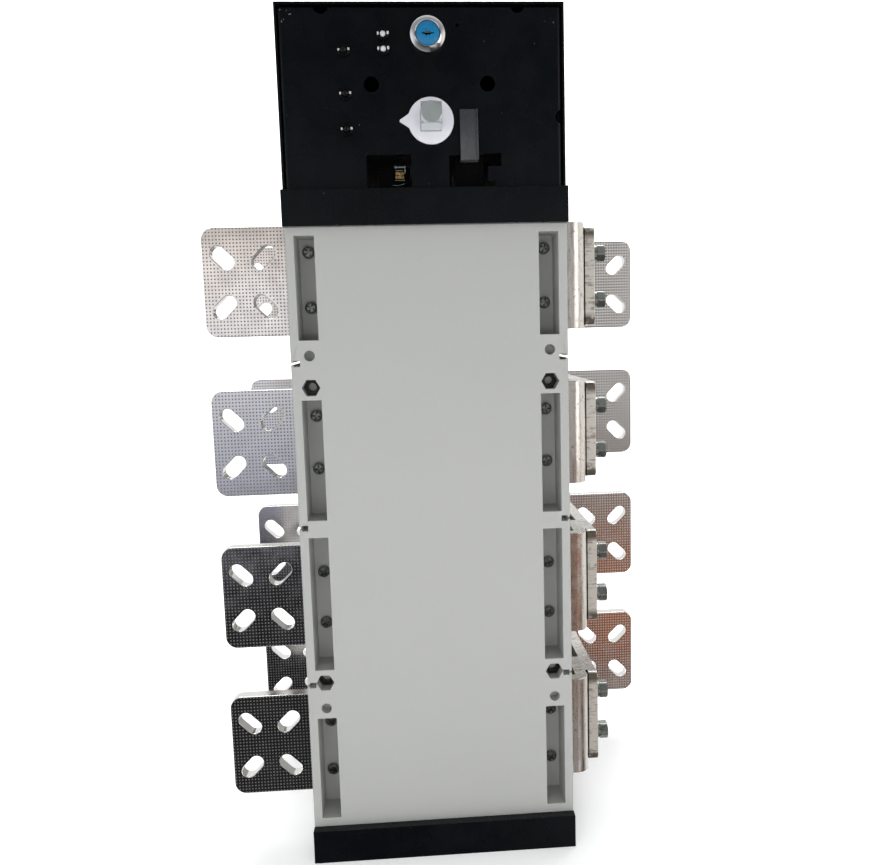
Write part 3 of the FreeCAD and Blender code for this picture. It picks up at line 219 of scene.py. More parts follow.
def strip_look():
    """Thin coat on the padlock strip, with a painted reflection that makes it paler towards its
    foot.
    """
    look = powder_look("strip_painted_reflection", (0.032, 0.034, 0.038), 0.4)
    position = look.split()
    # Painted reflection: the coat is painted paler towards the foot of the strip, mottled by noise.
    foot = look.ramp(position["Z"], 0.546, 0.518)
    foot_reflection = look.math("MULTIPLY", foot, look.ramp(look.noise(90, 4), 0.3, 0.65, 0.5, 1))
    return look.blend_color(foot_reflection, (0.088, 0.088, 0.092)).material


def tinned_look(name="tinned_copper", tint=(0.82, 0.805, 0.785), dull=(0.09, 0.20), metal=1.0):
    look = Look(name, tint, 0.15, metal)
    look.blend_color(look.ramp(look.noise(45, 5, 0.6), 0.42, 0.72, 0, 0.4), (0.72, 0.68, 0.63))
    look.blend_color(look.ramp(look.noise(420, 2), 0.66, 0.74, 0, 0.4), (0.50, 0.44, 0.38))
    look.roughen(look.ramp(look.noise(70, 5), 0.3, 0.72, *dull))
    look.bump(look.noise(16, 3), 0.5, 0.25)
    return look.bump(look.noise(900, 3), 0.03, 0.3)


def bar_look():
    """Tin over a bent bar: smears and olive stains along the bend, and streaks along its height."""
    look = tinned_look("stained_tin", (0.75, 0.725, 0.685), (0.16, 0.34))
    streaks = look.noise(1, 4, 0.65, look.stretched((260, 260, 26)))
    look.blend_color(look.ramp(streaks, 0.50, 0.68, 0, 0.65), (0.40, 0.37, 0.28))
    look.blend_color(look.ramp(look.noise(210, 4, 0.7), 0.58, 0.70, 0, 0.6), (0.27, 0.21, 0.15))
    return look.bump(streaks, 0.25, 0.5).material


def sheared_look():
    """Cut edge of a bar: short slanted drag marks in its middle, dull oxide towards its ends."""
    look = tinned_look("sheared_edge", (0.74, 0.71, 0.645), (0.30, 0.46), 0.6)
    marks = look.noise(1, 3, 0.6, look.stretched((70, 70, 620), (0, 0.3, 0)))
    dents = look.ramp(look.noise(150, 4, 0.7), 0.45, 0.56)
    look.blend_color(look.math("MULTIPLY", look.ramp(marks, 0.49, 0.57, 0, 0.65), dents),
                     (0.20, 0.165, 0.12))
    position = look.split()
    # Height above the middle of the nearest pole, without its sign.
    turns = look.math("DIVIDE", look.math("SUBTRACT", position["Z"], 0.018), 0.12)
    away = look.math("ABSOLUTE", look.math("SUBTRACT", look.math("FRACT", turns), 0.5))
    ends = look.math("MULTIPLY", look.ramp(away, 0.225, 0.270),
                     look.ramp(look.noise(120, 4), 0.38, 0.5))
    look.blend_color(look.math("MULTIPLY", ends, 0.9), (0.085, 0.066, 0.042))
    return look.bump(marks, 0.35, 0.7).material


def zinc_look(name="bright_zinc", tint=(0.60, 0.64, 0.67), dull=(0.22, 0.36), metal=1.0):
    look = Look(name, tint, 0.3, metal)
    look.blend_color(look.ramp(look.noise(120, 4), 0.45, 0.7, 0, 0.4), tuple(0.8 * c for c in tint))
    look.roughen(look.ramp(look.noise(160, 4), 0.3, 0.7, *dull))
    return look.bump(look.noise(1500, 2), 0.03, 0.4).material


def machined_look(name, tint, dull=(0.28, 0.42)):
    """Plain metal with fine tool lines."""
    look = Look(name, tint, 0.35, 1.0)
    look.blend_color(look.ramp(look.noise(60, 4), 0.4, 0.75, 0, 0.45), tuple(0.7 * c for c in tint))
    look.roughen(look.ramp(look.noise(90, 4), 0.3, 0.7, *dull))
    return look.bump(look.noise(1, 3, where=look.stretched((120, 2200, 120))), 0.03, 0.35).material


def plastic_look(name, color, roughness, grain=0.03, spread=0.06, **fixed):
    look = Look(name, color, roughness, **fixed)
    look.blend_color(look.ramp(look.noise(80, 3), 0.4, 0.7, 0, 0.5), tuple(0.86 * c for c in color))
    look.roughen(look.ramp(look.noise(130, 3), 0.3, 0.7, roughness - spread, roughness + spread))
    return look.bump(look.noise(1400, 2), grain, 0.4).material


LOOKS = {
    "moulding": moulding_look(),
    "black_steel": powder_look().material,
    "plate": plate_look(),
    "strip": strip_look(),
    "black_screws": powder_look("black_screw", (0.010, 0.010, 0.010)).material,
    "tinned_copper": tinned_look().material,
    # Painted shade and reflection: the teeth are the pads' own tin, coloured darker than the pad so
    # they read as shaded dots, darkest on the load pads of poles 3 and 4 and palest on those of
    # poles 1 and 2.
    "knurl": zinc_look("knurl_teeth_painted_shade", (0.18, 0.176, 0.172), (0.36, 0.48), 0.3),
    "darker_painted_knurl": zinc_look("knurl_teeth_painted_darker", (0.05, 0.048, 0.046), (0.36, 0.48), 0.3),
    "paler_painted_knurl": zinc_look("knurl_teeth_painted_paler", (0.50, 0.49, 0.48), (0.36, 0.48), 0.3),
    "bar": bar_look(),
    "sheared": sheared_look(),
    # Painted shade: a dark copy of the metal for the faces in the gap between a bridging bar and
    # its stub.
    "painted_gap_shade": machined_look("gap_painted_shade", (0.045, 0.034, 0.024), (0.5, 0.7)),
    "zinc_screws": zinc_look(),
    # Painted shade: a darker copy of the zinc for the screws down in the pockets.
    "pocket_screw": zinc_look("zinc_painted_pocket_shade", (0.30, 0.32, 0.31), (0.20, 0.34)),
    # Painted reflection: a darker, greenish copy of the zinc for the terminal bolts and nuts.
    "bolts": zinc_look("zinc_painted_green_reflection", (0.47, 0.50, 0.47), (0.20, 0.34)),
    "satin_zinc": zinc_look("satin_zinc", (0.66, 0.71, 0.71), (0.18, 0.28), 0.7),
    # Painted glints: bright metal for the small tabs beside each lamp lens.
    "clip": zinc_look("glint_tab_metal", (0.82, 0.83, 0.85), (0.16, 0.30), 0.45),
    # Painted shade: a dark copy of the steel for the nuts down in their recesses.
    "recess_shade_steel": zinc_look("steel_painted_recess_shade", (0.055, 0.055, 0.055), (0.3, 0.5)),
    "steel": machined_look("steel", (0.50, 0.50, 0.50)),
    "copper": machined_look("contact_copper", (0.78, 0.45, 0.30)),
    "bronze": machined_look("sintered_bronze", (0.52, 0.36, 0.17), (0.38, 0.55)),
    "brass": machined_look("brass", (0.80, 0.58, 0.24), (0.18, 0.28)),
    "chrome": zinc_look("polished_chrome", (0.80, 0.82, 0.84), (0.10, 0.20)),
    "insulation": plastic_look("brown_insulation", (0.10, 0.045, 0.028), 0.5),
    "white_plastic": plastic_look("white_plastic", (0.76, 0.75, 0.80), 0.34),
    "blue_plug": plastic_look("blue_cap", (0.008, 0.17, 0.36), 0.30),
    "bezel": plastic_look("black_gloss", (0.003, 0.003, 0.0035), 0.13, 0.01, 0.03,
                          specular_ior_level=0.12),
    "lens": plastic_look("milky_lens", (0.80, 0.81, 0.83), 0.12, 0.005, 0.04,
                         transmission_weight=0.25, ior=1.49),
    "dark_lens": plastic_look("smoked_lens", (0.004, 0.004, 0.005), 0.10, 0.005, 0.03,
                              specular_ior_level=0.3),
    "switch_case": plastic_look("switch_case", (0.002, 0.002, 0.002), 0.5, specular_ior_level=0.05),
    # Painted shade: a darker copy of the black steel for the strip's guide inside the box.
    "inner_steel_painted_shade": powder_look("inner_steel_painted_shade", (0.002, 0.002, 0.002), 0.05).material,
}


# ---------------------------------------------------------------- mesh makers

# In metres: how near to each other new vertices and a CAD node's vertices are joined, and how
# short an edge is left out.
WELD, SEAM, SLIVER = 1e-7, 2e-6, 1e-6
SHARP_ANGLE = math.radians(30)


def point(x, y, z):
    return Vector((x * MM, y * MM, z * MM))


AXES = {
    "x": Matrix(((0, 0, 1), (1, 0, 0), (0, 1, 0))),
    "-x": Matrix(((0, 0, -1), (-1, 0, 0), (0, 1, 0))),
    "y": Matrix(((1, 0, 0), (0, 0, 1), (0, -1, 0))),
    "-y": Matrix(((1, 0, 0), (0, 0, -1), (0, 1, 0))),
    "z": Matrix.Identity(3),
}


def stand(axis, x, y, z):
    """Puts a shape that was made along +Z at a point, along another axis."""
    return Matrix.Translation(point(x, y, z)) @ AXES[axis].to_4x4()


def lathe(bm, profile, steps=48, thread=None):
    """Solid of revolution about Z through (radius, height) from end to end of the profile."""
    rings = []
    for radius, height in profile:
        if radius < 1e-6:
            rings.append([bm.verts.new(point(0, 0, height))])
            continue
        rings.append([])
        for step in range(steps):
            angle = 2 * math.pi * step / steps
            wide = thread(radius, height, angle) if thread else radius
            rings[-1].append(bm.verts.new(point(wide * math.cos(angle), wide * math.sin(angle),
                                                height)))
    for low, high in zip(rings, rings[1:]):
        for step in range(steps):
            after = (step + 1) % steps
            if len(low) == 1 and len(high) == 1:
                continue
            if len(low) == 1:
                corners = (low[0], high[after], high[step])
            elif len(high) == 1:
                corners = (low[step], low[after], high[0])
            else:
                corners = (low[step], low[after], high[after], high[step])
            bm.faces.new(corners)


def stacked(bm, *layers):
    """Solid through outlines of (x, y, z) that have equally many points, with flat ends."""
    rings = [[bm.verts.new(point(*spot)) for spot in layer] for layer in layers]
    bm.faces.new(list(reversed(rings[0])))
    bm.faces.new(rings[-1])
    for low, high in zip(rings, rings[1:]):
        for i in range(len(low)):
            j = (i + 1) % len(low)
            bm.faces.new((low[i], low[j], high[j], high[i]))


def extrude(bm, outline, low, high):
    """Prism of an anticlockwise outline of (x, y) from z = low to z = high."""
    stacked(bm, *([(x, y, z) for x, y in outline] for z in (low, high)))


def box(bm, x0, x1, y0, y1, z0, z1):
    extrude(bm, [(x0, y0), (x1, y0), (x1, y1), (x0, y1)], z0, z1)


def evaluated(obj):
    """Applies the modifiers of obj to its mesh."""
    graph = bpy.context.evaluated_depsgraph_get()
    mesh = bpy.data.meshes.new_from_object(obj.evaluated_get(graph))
    obj.modifiers.clear()
    obj.data = mesh


def outward(bm):
    """Turns every closed shell so that its faces point out."""
    bmesh.ops.recalc_face_normals(bm, faces=bm.faces)
    left = set(bm.faces)
    for seed in list(bm.faces):
        if seed not in left:
            continue
        left.discard(seed)
        shell, waiting, volume = [], [seed], 0
        while waiting:
            face = waiting.pop()
            shell.append(face)
            first, *others = (vert.co for vert in face.verts)
            volume += sum(first.dot(b.cross(c)) for b, c in zip(others, others[1:]))
            for edge in face.edges:
                for other in edge.link_faces:
                    if other in left:
                        left.discard(other)
                        waiting.append(other)
        if volume < 0:
            bmesh.ops.reverse_faces(bm, faces=shell)


def made(maker, *args):
    """A new bmesh with one shape in it."""
    bm = bmesh.new()
    maker(bm, *args)
    return bm


def placed(name, data):
    """A new object in the scene."""
    obj = bpy.data.objects.new(name, data)
    bpy.context.scene.collection.objects.link(obj)
    return obj


def make_object(name, bm, weld=True, turn=True):
    if weld:
        bmesh.ops.remove_doubles(bm, verts=bm.verts, dist=WELD)
    if turn:
        outward(bm)
    mesh = bpy.data.meshes.new(name)
    bm.to_mesh(mesh)
    bm.free()
    return placed(name, mesh)


def carved(bm, *tools):
    """The shape in bm less other closed shapes."""
    target = make_object("target", bm)
    for tool in tools:
        cutter = make_object("cutter", tool)
        cutter.hide_render = True
        modifier = target.modifiers.new("carve", "BOOLEAN")
        modifier.object = cutter
        modifier.operation = "DIFFERENCE"
        modifier.solver = "EXACT"
        evaluated(target)
        bpy.data.objects.remove(cutter)
    result = bmesh.new()
    result.from_mesh(target.data)
    bmesh.ops.dissolve_degenerate(result, edges=result.edges, dist=SLIVER)
    bpy.data.objects.remove(target)
    return result


def inward(edge, face, vert):
    """Unit vector in the plane of face, square to edge, pointing into the face."""
    run = (edge.other_vert(vert).co - vert.co).normalized()
    across = face.calc_center_median() - vert.co
    across -= run * across.dot(run)
    return across.normalized() if across.length > 1e-12 else face.normal.cross(run)


def fans_of(vert, sharp):
    """The faces round a vertex in groups that sharp edges part."""
    left = list(vert.link_faces)
    groups = []
    while left:
        group, waiting = [], [left.pop(0)]
        while waiting:
            face = waiting.pop()
            group.append(face)
            for edge in face.edges:
                if vert in edge.verts and edge not in sharp:
                    for other in edge.link_faces:
                        if other in left:
                            left.remove(other)
                            waiting.append(other)
        groups.append(group)
    return groups


def round_edges(obj, width):
    """Breaks every sharp edge of a closed mesh, and shades the break as a round.

    Each group of faces round a vertex gets its own copy of it, moved in from the sharp edges and
    kept inside the box of the mesh.
    """
    bm = bmesh.new()
    bm.from_mesh(obj.data)
    bm.normal_update()
    broken = [edge for edge in bm.edges
              if len(edge.link_faces) == 2 and edge.calc_face_angle(0) > SHARP_ANGLE]
    sharp = set(broken)
    reach = [[vert.co[axis] for vert in bm.verts] for axis in range(3)]
    limits = [(min(values), max(values)) for values in reach]
    positions, normals, joins, corner = [], [], [], {}
    for vert in bm.verts:
        groups = fans_of(vert, sharp)
        for group in groups:
            normal = sum((face.normal * max(face.calc_area(), 1e-14) for face in group), Vector())
            spot = vert.co.copy()
            ends = [(edge, face) for face in group for edge in face.edges
                    if edge in sharp and vert in edge.verts]
            if len(groups) > 1 and ends:
                pulls = [inward(edge, face, vert) for edge, face in ends[:2]]
                if len(pulls) == 2:
                    both = pulls[0] + pulls[1]
                    spot += both * (width * MM / max(0.5, 1 + pulls[0].dot(pulls[1])))
                else:
                    spot += pulls[0] * width * MM
            for face in group:
                corner[vert.index, face.index] = len(positions)
            positions.append([min(high, max(low, value))
                              for value, (low, high) in zip(spot, limits)])
            normals.append(normal.normalized() if normal.length > 0 else Vector((0, 0, 1)))
        if len(groups) > 2:
            joins.append(vert)
    faces = [[corner[vert.index, face.index] for vert in face.verts] for face in bm.faces]
    for edge in broken:
        first, second = edge.link_faces
        loop = next(l for l in edge.link_loops if l.face == first)
        start, end = loop.vert, loop.link_loop_next.vert
        faces.append([corner[end.index, first.index], corner[start.index, first.index],
                      corner[start.index, second.index], corner[end.index, second.index]])
    faces += [copies for copies in (corner_ring(vert, sharp, corner) for vert in joins)
              if len(set(copies)) > 2]
    bm.free()
    faces = [[v for i, v in enumerate(face) if v != face[i - 1]] for face in faces]
    mesh = bpy.data.meshes.new(obj.name)
    mesh.from_pydata(positions, [], [face for face in faces if len(face) > 2])
    mesh.polygons.foreach_set("use_smooth", [True] * len(mesh.polygons))
    mesh.update()
    mesh.normals_split_custom_set_from_vertices([tuple(n) for n in normals])
    obj.data = mesh
    return obj


def corner_ring(vert, sharp, corner):
    """The copies of a vertex in order round it, seen from outside."""
    start = next(l for l in vert.link_loops if l.edge in sharp)
    ring, loop = [], start
    for _ in range(len(vert.link_loops) + 1):
        ring.append(corner[vert.index, loop.face.index])
        edge_in = loop.link_loop_prev.edge
        others = [l for l in edge_in.link_loops if l.face != loop.face]
        if not others:
            break
        loop = next(l for l in others[0].face.loops if l.vert == vert)
        if loop == start:
            break
    return [v for i, v in enumerate(ring) if v != ring[i - 1]]


def smooth(obj, angle=35):
    obj.data.shade_smooth()
    obj.data.set_sharp_from_angle(angle=math.radians(angle))
    return obj


def finished(obj, look, body, slot, *replaced):
    obj.data.materials.clear()
    for word in [look] if isinstance(look, str) else look:
        obj.data.materials.append(LOOKS[word])
    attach(obj, body)
    if replaced:
        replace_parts(obj, *replaced)


def cleaned(node):
    """A CAD node's mesh with its surfaces joined along their edges."""
    bm = bmesh.new()
    bm.from_mesh(frame["nodes"][node].data)
    bmesh.ops.remove_doubles(bm, verts=bm.verts, dist=SEAM)
    bmesh.ops.dissolve_degenerate(bm, edges=bm.edges, dist=SLIVER)
    return bm


def rounded(node, width):
    """A new object with a CAD node's shape and rounded edges."""
    return round_edges(make_object(node + "_piece", cleaned(node), weld=False, turn=False), width)


def refined(node, width, look=None):
    """A CAD node with rounded edges and its own finish."""
    slot = SLOT_OF[node]
    finished(rounded(node, width), look or slot, BODY_OF[node], slot, node)


# ---------------------------------------------------------------- fasteners

def hex_block(bm, flats, low, high):
    """Hexagon with the turned chamfer of a bolt head at its high end and blunt corners."""
    steps, blunt = 10, 0.955
    inner = flats / 2 * 0.985
    reach = flats / 2 / math.cos(math.pi / 6)
    drop = (reach - inner) * math.tan(math.radians(30))
    rims = []
    for k in range(6):
        for step in range(steps):
            angle = (k + step / steps) * math.pi / 3
            local = (angle % (math.pi / 3)) - math.pi / 6
            wide = min(flats / 2 / math.cos(local), blunt * reach)
            rims.append((angle, wide))
    stacked(bm, [(w * math.cos(a), w * math.sin(a), low) for a, w in rims],
            [(w * math.cos(a), w * math.sin(a), high - drop * (w - inner) / (reach - inner))
             for a, w in rims],
            [(inner * math.cos(a), inner * math.sin(a), high) for a, _ in rims])


def threaded(bm, radius, low, high, pitch):
    """Threaded rod with a chamfered end at its high side."""
    rows = max(2, int((high - low) / pitch * 5))
    deep = 0.55 * pitch

    def wave(wide, height, angle):
        phase = (height / pitch - angle / (2 * math.pi)) % 1.0
        cut_in = deep * (1 - abs(2 * phase - 1))
        ease = min(1.0, (height - low) / pitch, max(0.0, (high - height) / pitch))
        return wide - cut_in * ease - (0.4 * deep if height > high - 0.02 else 0)
    profile = [(0, low)]
    profile += [(radius, low + (high - low) * row / rows) for row in range(rows + 1)]
    profile.append((0, high))
    lathe(bm, profile, 28, wave)


def washer(bm, inner, outer, low, high):
    """Washer with broken edges."""
    off = 0.25
    lathe(bm, [(inner, low), (outer - off, low), (outer, low + off), (outer, high - off),
               (outer - off, high), (inner, high), (inner, low)])


def spring_washer(bm, inner, outer, low, high):
    """Split washer whose two ends stand a little apart."""
    steps, gap, spread, slack = 44, math.radians(9), 0.35, 0.18
    rings = []
    for step in range(steps + 1):
        angle = gap / 2 + (2 * math.pi - gap) * step / steps
        lift = spread * (step / steps - 0.5)
        rings.append([bm.verts.new(point(r * math.cos(angle), r * math.sin(angle), z + lift))
                      for r, z in ((inner, low + slack), (outer, low + slack),
                                   (outer, high - slack), (inner, high - slack))])
    for first, second in zip(rings, rings[1:]):
        for i in range(4):
            j = (i + 1) % 4
            bm.faces.new((first[i], second[i], second[j], first[j]))
    bm.faces.new(rings[0])
    bm.faces.new(list(reversed(rings[-1])))


# Hexagon bolts and nuts M8: width over flats, thread radius and pitch, clamped length, height
# of the nut, and how far the bolt stands out of it and is plain below its head.
FLATS, THREAD, PITCH, GRIP, NUT, BOLT_END, PLAIN = 13, 4, 1.25, 20, 6.5, 2.5, 8
# Heights of the plain washer, spring washer and head, and radii of the two washers.
WASHER, LOCK_WASHER, HEAD = 1.6, 2.1, 6.3
WASHER_RADIUS, LOCK_RADIUS = 7.2, 6.6


def upside_down(height):
    """Turns a shape over about the X axis and puts its Z = 0 at a height."""
    return Matrix.Translation(point(0, 0, height)) @ Matrix.Rotation(math.pi, 4, "X")


def add_mesh(bm, other, matrix):
    """Adds a moved copy of the shape in bmesh `other`, which it frees."""
    mesh = bpy.data.meshes.new("part")
    other.to_mesh(mesh)
    other.free()
    mesh.transform(matrix)
    bm.from_mesh(mesh)
    bpy.data.meshes.remove(mesh)


def bolt(bm):
    """Z = 0 is under the plain washer, and the head is above."""
    lock_top = WASHER + LOCK_WASHER
    washer(bm, THREAD + 0.1, WASHER_RADIUS, 0, WASHER)
    spring_washer(bm, THREAD + 0.2, LOCK_RADIUS, WASHER, lock_top)
    hex_block(bm, FLATS, lock_top, lock_top + HEAD)
    in_head = lock_top + 0.3
    lathe(bm, [(0, -PLAIN), (THREAD, -PLAIN), (THREAD, in_head), (0, in_head)], 32)
    thread = made(threaded, THREAD, 0, GRIP + NUT + BOLT_END - PLAIN, PITCH)
    add_mesh(bm, thread, upside_down(-PLAIN))


def nut(bm):
    """Nut from Z = 0 up, chamfered on both sides."""
    half = NUT / 2
    add_mesh(bm, made(hex_block, FLATS, 0, half), upside_down(half))
    hex_block(bm, FLATS, half, NUT)
    seam = [face for face in bm.faces
            if all(abs(vert.co.z - half * MM) < SLIVER for vert in face.verts)]
    bmesh.ops.delete(bm, geom=seam, context="FACES_ONLY")
    bmesh.ops.remove_doubles(bm, verts=bm.verts, dist=SLIVER)


def pan_head(radius, height, cross, shank, length):
    """Screw with a domed head and a cross recess of half width cross. Z = 0 is under the head."""
    arc = [math.pi / 2 * step / 8 for step in range(9)]
    dome = [(radius * (0.62 + 0.38 * math.cos(turn)), height * (0.35 + 0.65 * math.sin(turn)))
            for turn in arc]
    bm = bmesh.new()
    lathe(bm, [(0, -length), (shank, -length), (shank, 0), (radius - 0.1, 0), (radius, 0.15)]
          + dome + [(0, height)], 40)
    deep = 0.62 * height
    for turn in (0, math.pi / 2):
        rows = []
        for half, thick, z in ((cross * 0.45, 0.36, height - deep), (cross, 0.62, height + 0.6)):
            corners = ((-half, -thick), (half, -thick), (half, thick), (-half, thick))
            rows.append([(x * math.cos(turn) - y * math.sin(turn),
                          x * math.sin(turn) + y * math.cos(turn), z) for x, y in corners])
        bm = carved(bm, made(stacked, *rows))
    return bm


def add_copies(name, single, places):
    """An object that holds a copy of the shape in bmesh `single` at each place."""
    source = bpy.data.meshes.new("single")
    outward(single)
    single.to_mesh(source)
    single.free()
    bm = bmesh.new()
    for matrix in places:
        start = len(bm.verts)
        bm.from_mesh(source)
        bm.verts.ensure_lookup_table()
        for vert in bm.verts[start:]:
            vert.co = matrix @ vert.co
    bpy.data.meshes.remove(source)
    return make_object(name, bm, weld=False, turn=False)


def make_fasteners():
    luck = random.Random(4)

    def turned(low, high, *place):
        return stand(*place) @ Matrix.Rotation(luck.uniform(low, high), 4, "Z")
    circle = (0, 2 * math.pi)
    screw = pan_head(4.6, 3.4, 3.3, 2.5, 20)
    places = [turned(*circle, axis, 86.5 * side, y, z + 20 * step)
              for axis, y in (("-y", -86), ("y", 86))
              for z in POLE_Z.values() for side in (-1, 1) for step in (-1, 1)]
    screws = smooth(add_copies("pocket_screws", screw, places))
    finished(screws, "pocket_screw", "switch_body", "zinc_screws", "cover_screws")

    heads, nuts = [], []
    for z in POLE_Z.values():
        for row in (-18, 18):
            heads.append(turned(-0.06, 0.06, "x", 130, -52, z + row))
            heads.append(turned(-0.4, 0.4, "-y", 110.5, 60.5, z + row))
            nuts.append(stand("x", 110 - NUT, -52, z + row))
            nuts.append(stand("y", 110.5, 80.5, z + row))
    bolts = smooth(add_copies("terminal_bolts", made(bolt), heads))
    finished(bolts, "bolts", "switch_body", "zinc_screws", "bridge_bolts")
    rings = smooth(add_copies("terminal_nuts", made(nut), nuts))
    finished(rings, "bolts", "switch_body", "zinc_screws", "bridge_nuts")

    button = pan_head(3.6, 1.8, 1.9, 1.5, 4.5)
    places = [turned(*circle, axis, 99 * side, y, 507)
              for side, axis in ((-1, "-x"), (1, "x")) for y in (-50, 50)]
    buttons = smooth(add_copies("case_screws", button, places))
    finished(buttons, "black_screws", "switch_body", "black_screws", "box_screws")


# ---------------------------------------------------------------- conductors

# Pads: their ends along X on the line side and on the load side, the distance of their two
# faces from the middle plane, half their height and the radius of their corners.
LINE_END, LOAD_END, PAD_INNER, PAD_OUTER = -165, 193.5, 70.5, 80.9
PAD_HALF, PAD_CORNER = 40, 9
# A slot's radius and half the length between the centres of its ends.
SLOT_RADIUS, SLOT_HALF = 5.5, 4.5
# Height of the field of teeth, their spacing across and up a pad, how far they stand out of its
# face and reach into it, and the bare rim round a slot.
KNURL_TALL, KNURL_ACROSS, KNURL_UP = 78, 2.5, 2.6
KNURL_OUT, KNURL_IN, KNURL_GAP = 0.24, 0.04, 0.9
# Half widths of a tooth at its foot and tip, on the line side and on the load side.
KNURL_SIZE = {-1: (0.60, 0.16), 1: (0.72, 0.26)}


def slot_gap(x, z, slots):
    """Distance from a point of a pad to its nearest slot; negative inside one."""
    gaps = []
    for cx, cz, slant in slots:
        along = ((x - cx) + slant * (z - cz)) * math.sqrt(0.5)
        along = max(-SLOT_HALF, min(SLOT_HALF, along))
        px, pz = cx + along * math.sqrt(0.5), cz + slant * along * math.sqrt(0.5)
        gaps.append(math.hypot(x - px, z - pz) - SLOT_RADIUS)
    return min(gaps)


def knurl(bm, x0, x1, outer, pole_z, slots, face_y, way, low, high):
    """Rows of small raised pyramids over one face of a pad; low and high are their half widths.

    outer is where the pad ends along X, and way is -1 for a face to the front and 1 to the back.
    """
    columns = round((x1 - x0) / KNURL_ACROSS)
    rows = round(KNURL_TALL / KNURL_UP)
    for column in range(columns + 1):
        for row in range(rows + 1):
            x = x0 + (x1 - x0) * column / columns
            z = KNURL_TALL * row / rows - KNURL_TALL / 2
            beyond_x, beyond_z = abs(outer) - PAD_CORNER - abs(x), PAD_HALF - PAD_CORNER - abs(z)
            off_corner = (beyond_x < 0 and beyond_z < 0
                          and math.hypot(beyond_x, beyond_z) > PAD_CORNER - 0.8)
            if off_corner or slot_gap(x, z, slots) < KNURL_GAP:
                continue
            tip, foot = ([(x + sx * half, face_y + way * out, pole_z + z + sz * half)
                          for sx, sz in ((-1, -1), (1, -1), (1, 1), (-1, 1))]
                         for half, out in ((high, KNURL_OUT), (low, -KNURL_IN)))
            stacked(bm, tip, foot)


def pad_slots(outer, side):
    """Centres (from the pole's middle) and slants of a pad's four slots."""
    return [(outer - side * (14.5 + 30 * column), 18 * row, row * lean * side)
            for column, lean in ((0, 1), (1, -1)) for row in (-1, 1)]


def make_terminal(node, pole, outer, side, starts, faces):
    """Pad with teeth on its front and back from starts, at faces; side is -1 for a line pad."""
    obj = rounded(node, 0.5)
    bm = bmesh.new()
    slots = pad_slots(outer, side)
    edge = outer - side * 1.2
    for start, face_y, way in zip(starts, faces, (-1, 1)):
        x0, x1 = sorted((start, edge))
        knurl(bm, x0, x1, outer, POLE_Z[pole], slots, face_y, way, *KNURL_SIZE[side])
    teeth = make_object("teeth", bm, weld=False)
    # The teeth get a toned copy of the tin by side and pole, as painted shade and reflection.
    teeth_painted_tone = "knurl" if side < 0 else "darker_painted_knurl" if pole > 2 else "paler_painted_knurl"
    looks = ("tinned_copper", teeth_painted_tone)
    finished(obj, looks, "switch_body", "tinned_copper", node)
    for word in looks:
        teeth.data.materials.append(LOOKS[word])
    for polygon in teeth.data.polygons:
        polygon.use_smooth = False
        polygon.material_index = 1
    with bpy.context.temp_override(active_object=obj, selected_editable_objects=[obj, teeth],
                                   selected_objects=[obj, teeth]):
        bpy.ops.object.join()


def make_bent_bar(node):
    """Stub or bridging bar. The bridging bar is sheared in front and has painted shade on its faces
    in the gap between.
    """
    obj = rounded(node, 0.6)
    finished(obj, ["bar", "sheared", "painted_gap_shade"], "switch_body", "tinned_copper", node)
    low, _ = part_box(node)
    gap_end = 122.5 * MM
    for polygon in obj.data.polygons if node.startswith("bridging") else ():
        center, normal = polygon.center, polygon.normal
        if center.y < low.y + 2 * MM and normal.y < -0.7:
            polygon.material_index = 1
        # Faces that look into the gap get painted shade.
        if center.y < low.y + 9 * MM and normal.x < -0.3 and center.x < gap_end:
            polygon.material_index = 2


def make_conductors():
    front, rear = (-PAD_OUTER, -PAD_INNER), (PAD_INNER, PAD_OUTER)
    line, load = (-102, -102), (133.5, 123.5)
    for pole in POLE_Z:
        make_terminal(f"front_line_terminal_{pole}", pole, LINE_END, -1, line, front)
        make_terminal(f"rear_line_terminal_{pole}", pole, LINE_END, -1, line, rear)
        make_terminal(f"rear_load_terminal_{pole}", pole, LOAD_END, 1, load, rear)
        make_bent_bar(f"front_load_stub_{pole}")
        make_bent_bar(f"bridging_bar_{pole}")


# ---------------------------------------------------------------- front plate furniture

PLATE_FRONT = -115
LIT_LAMPS = [(-26, 600.5), (-26, 590.7)]
DARK_LAMPS = [(-53, 590), (-53, 561.5), (-53, 538)]
LOCK_X, LOCK_Z = 4.5, 599.5


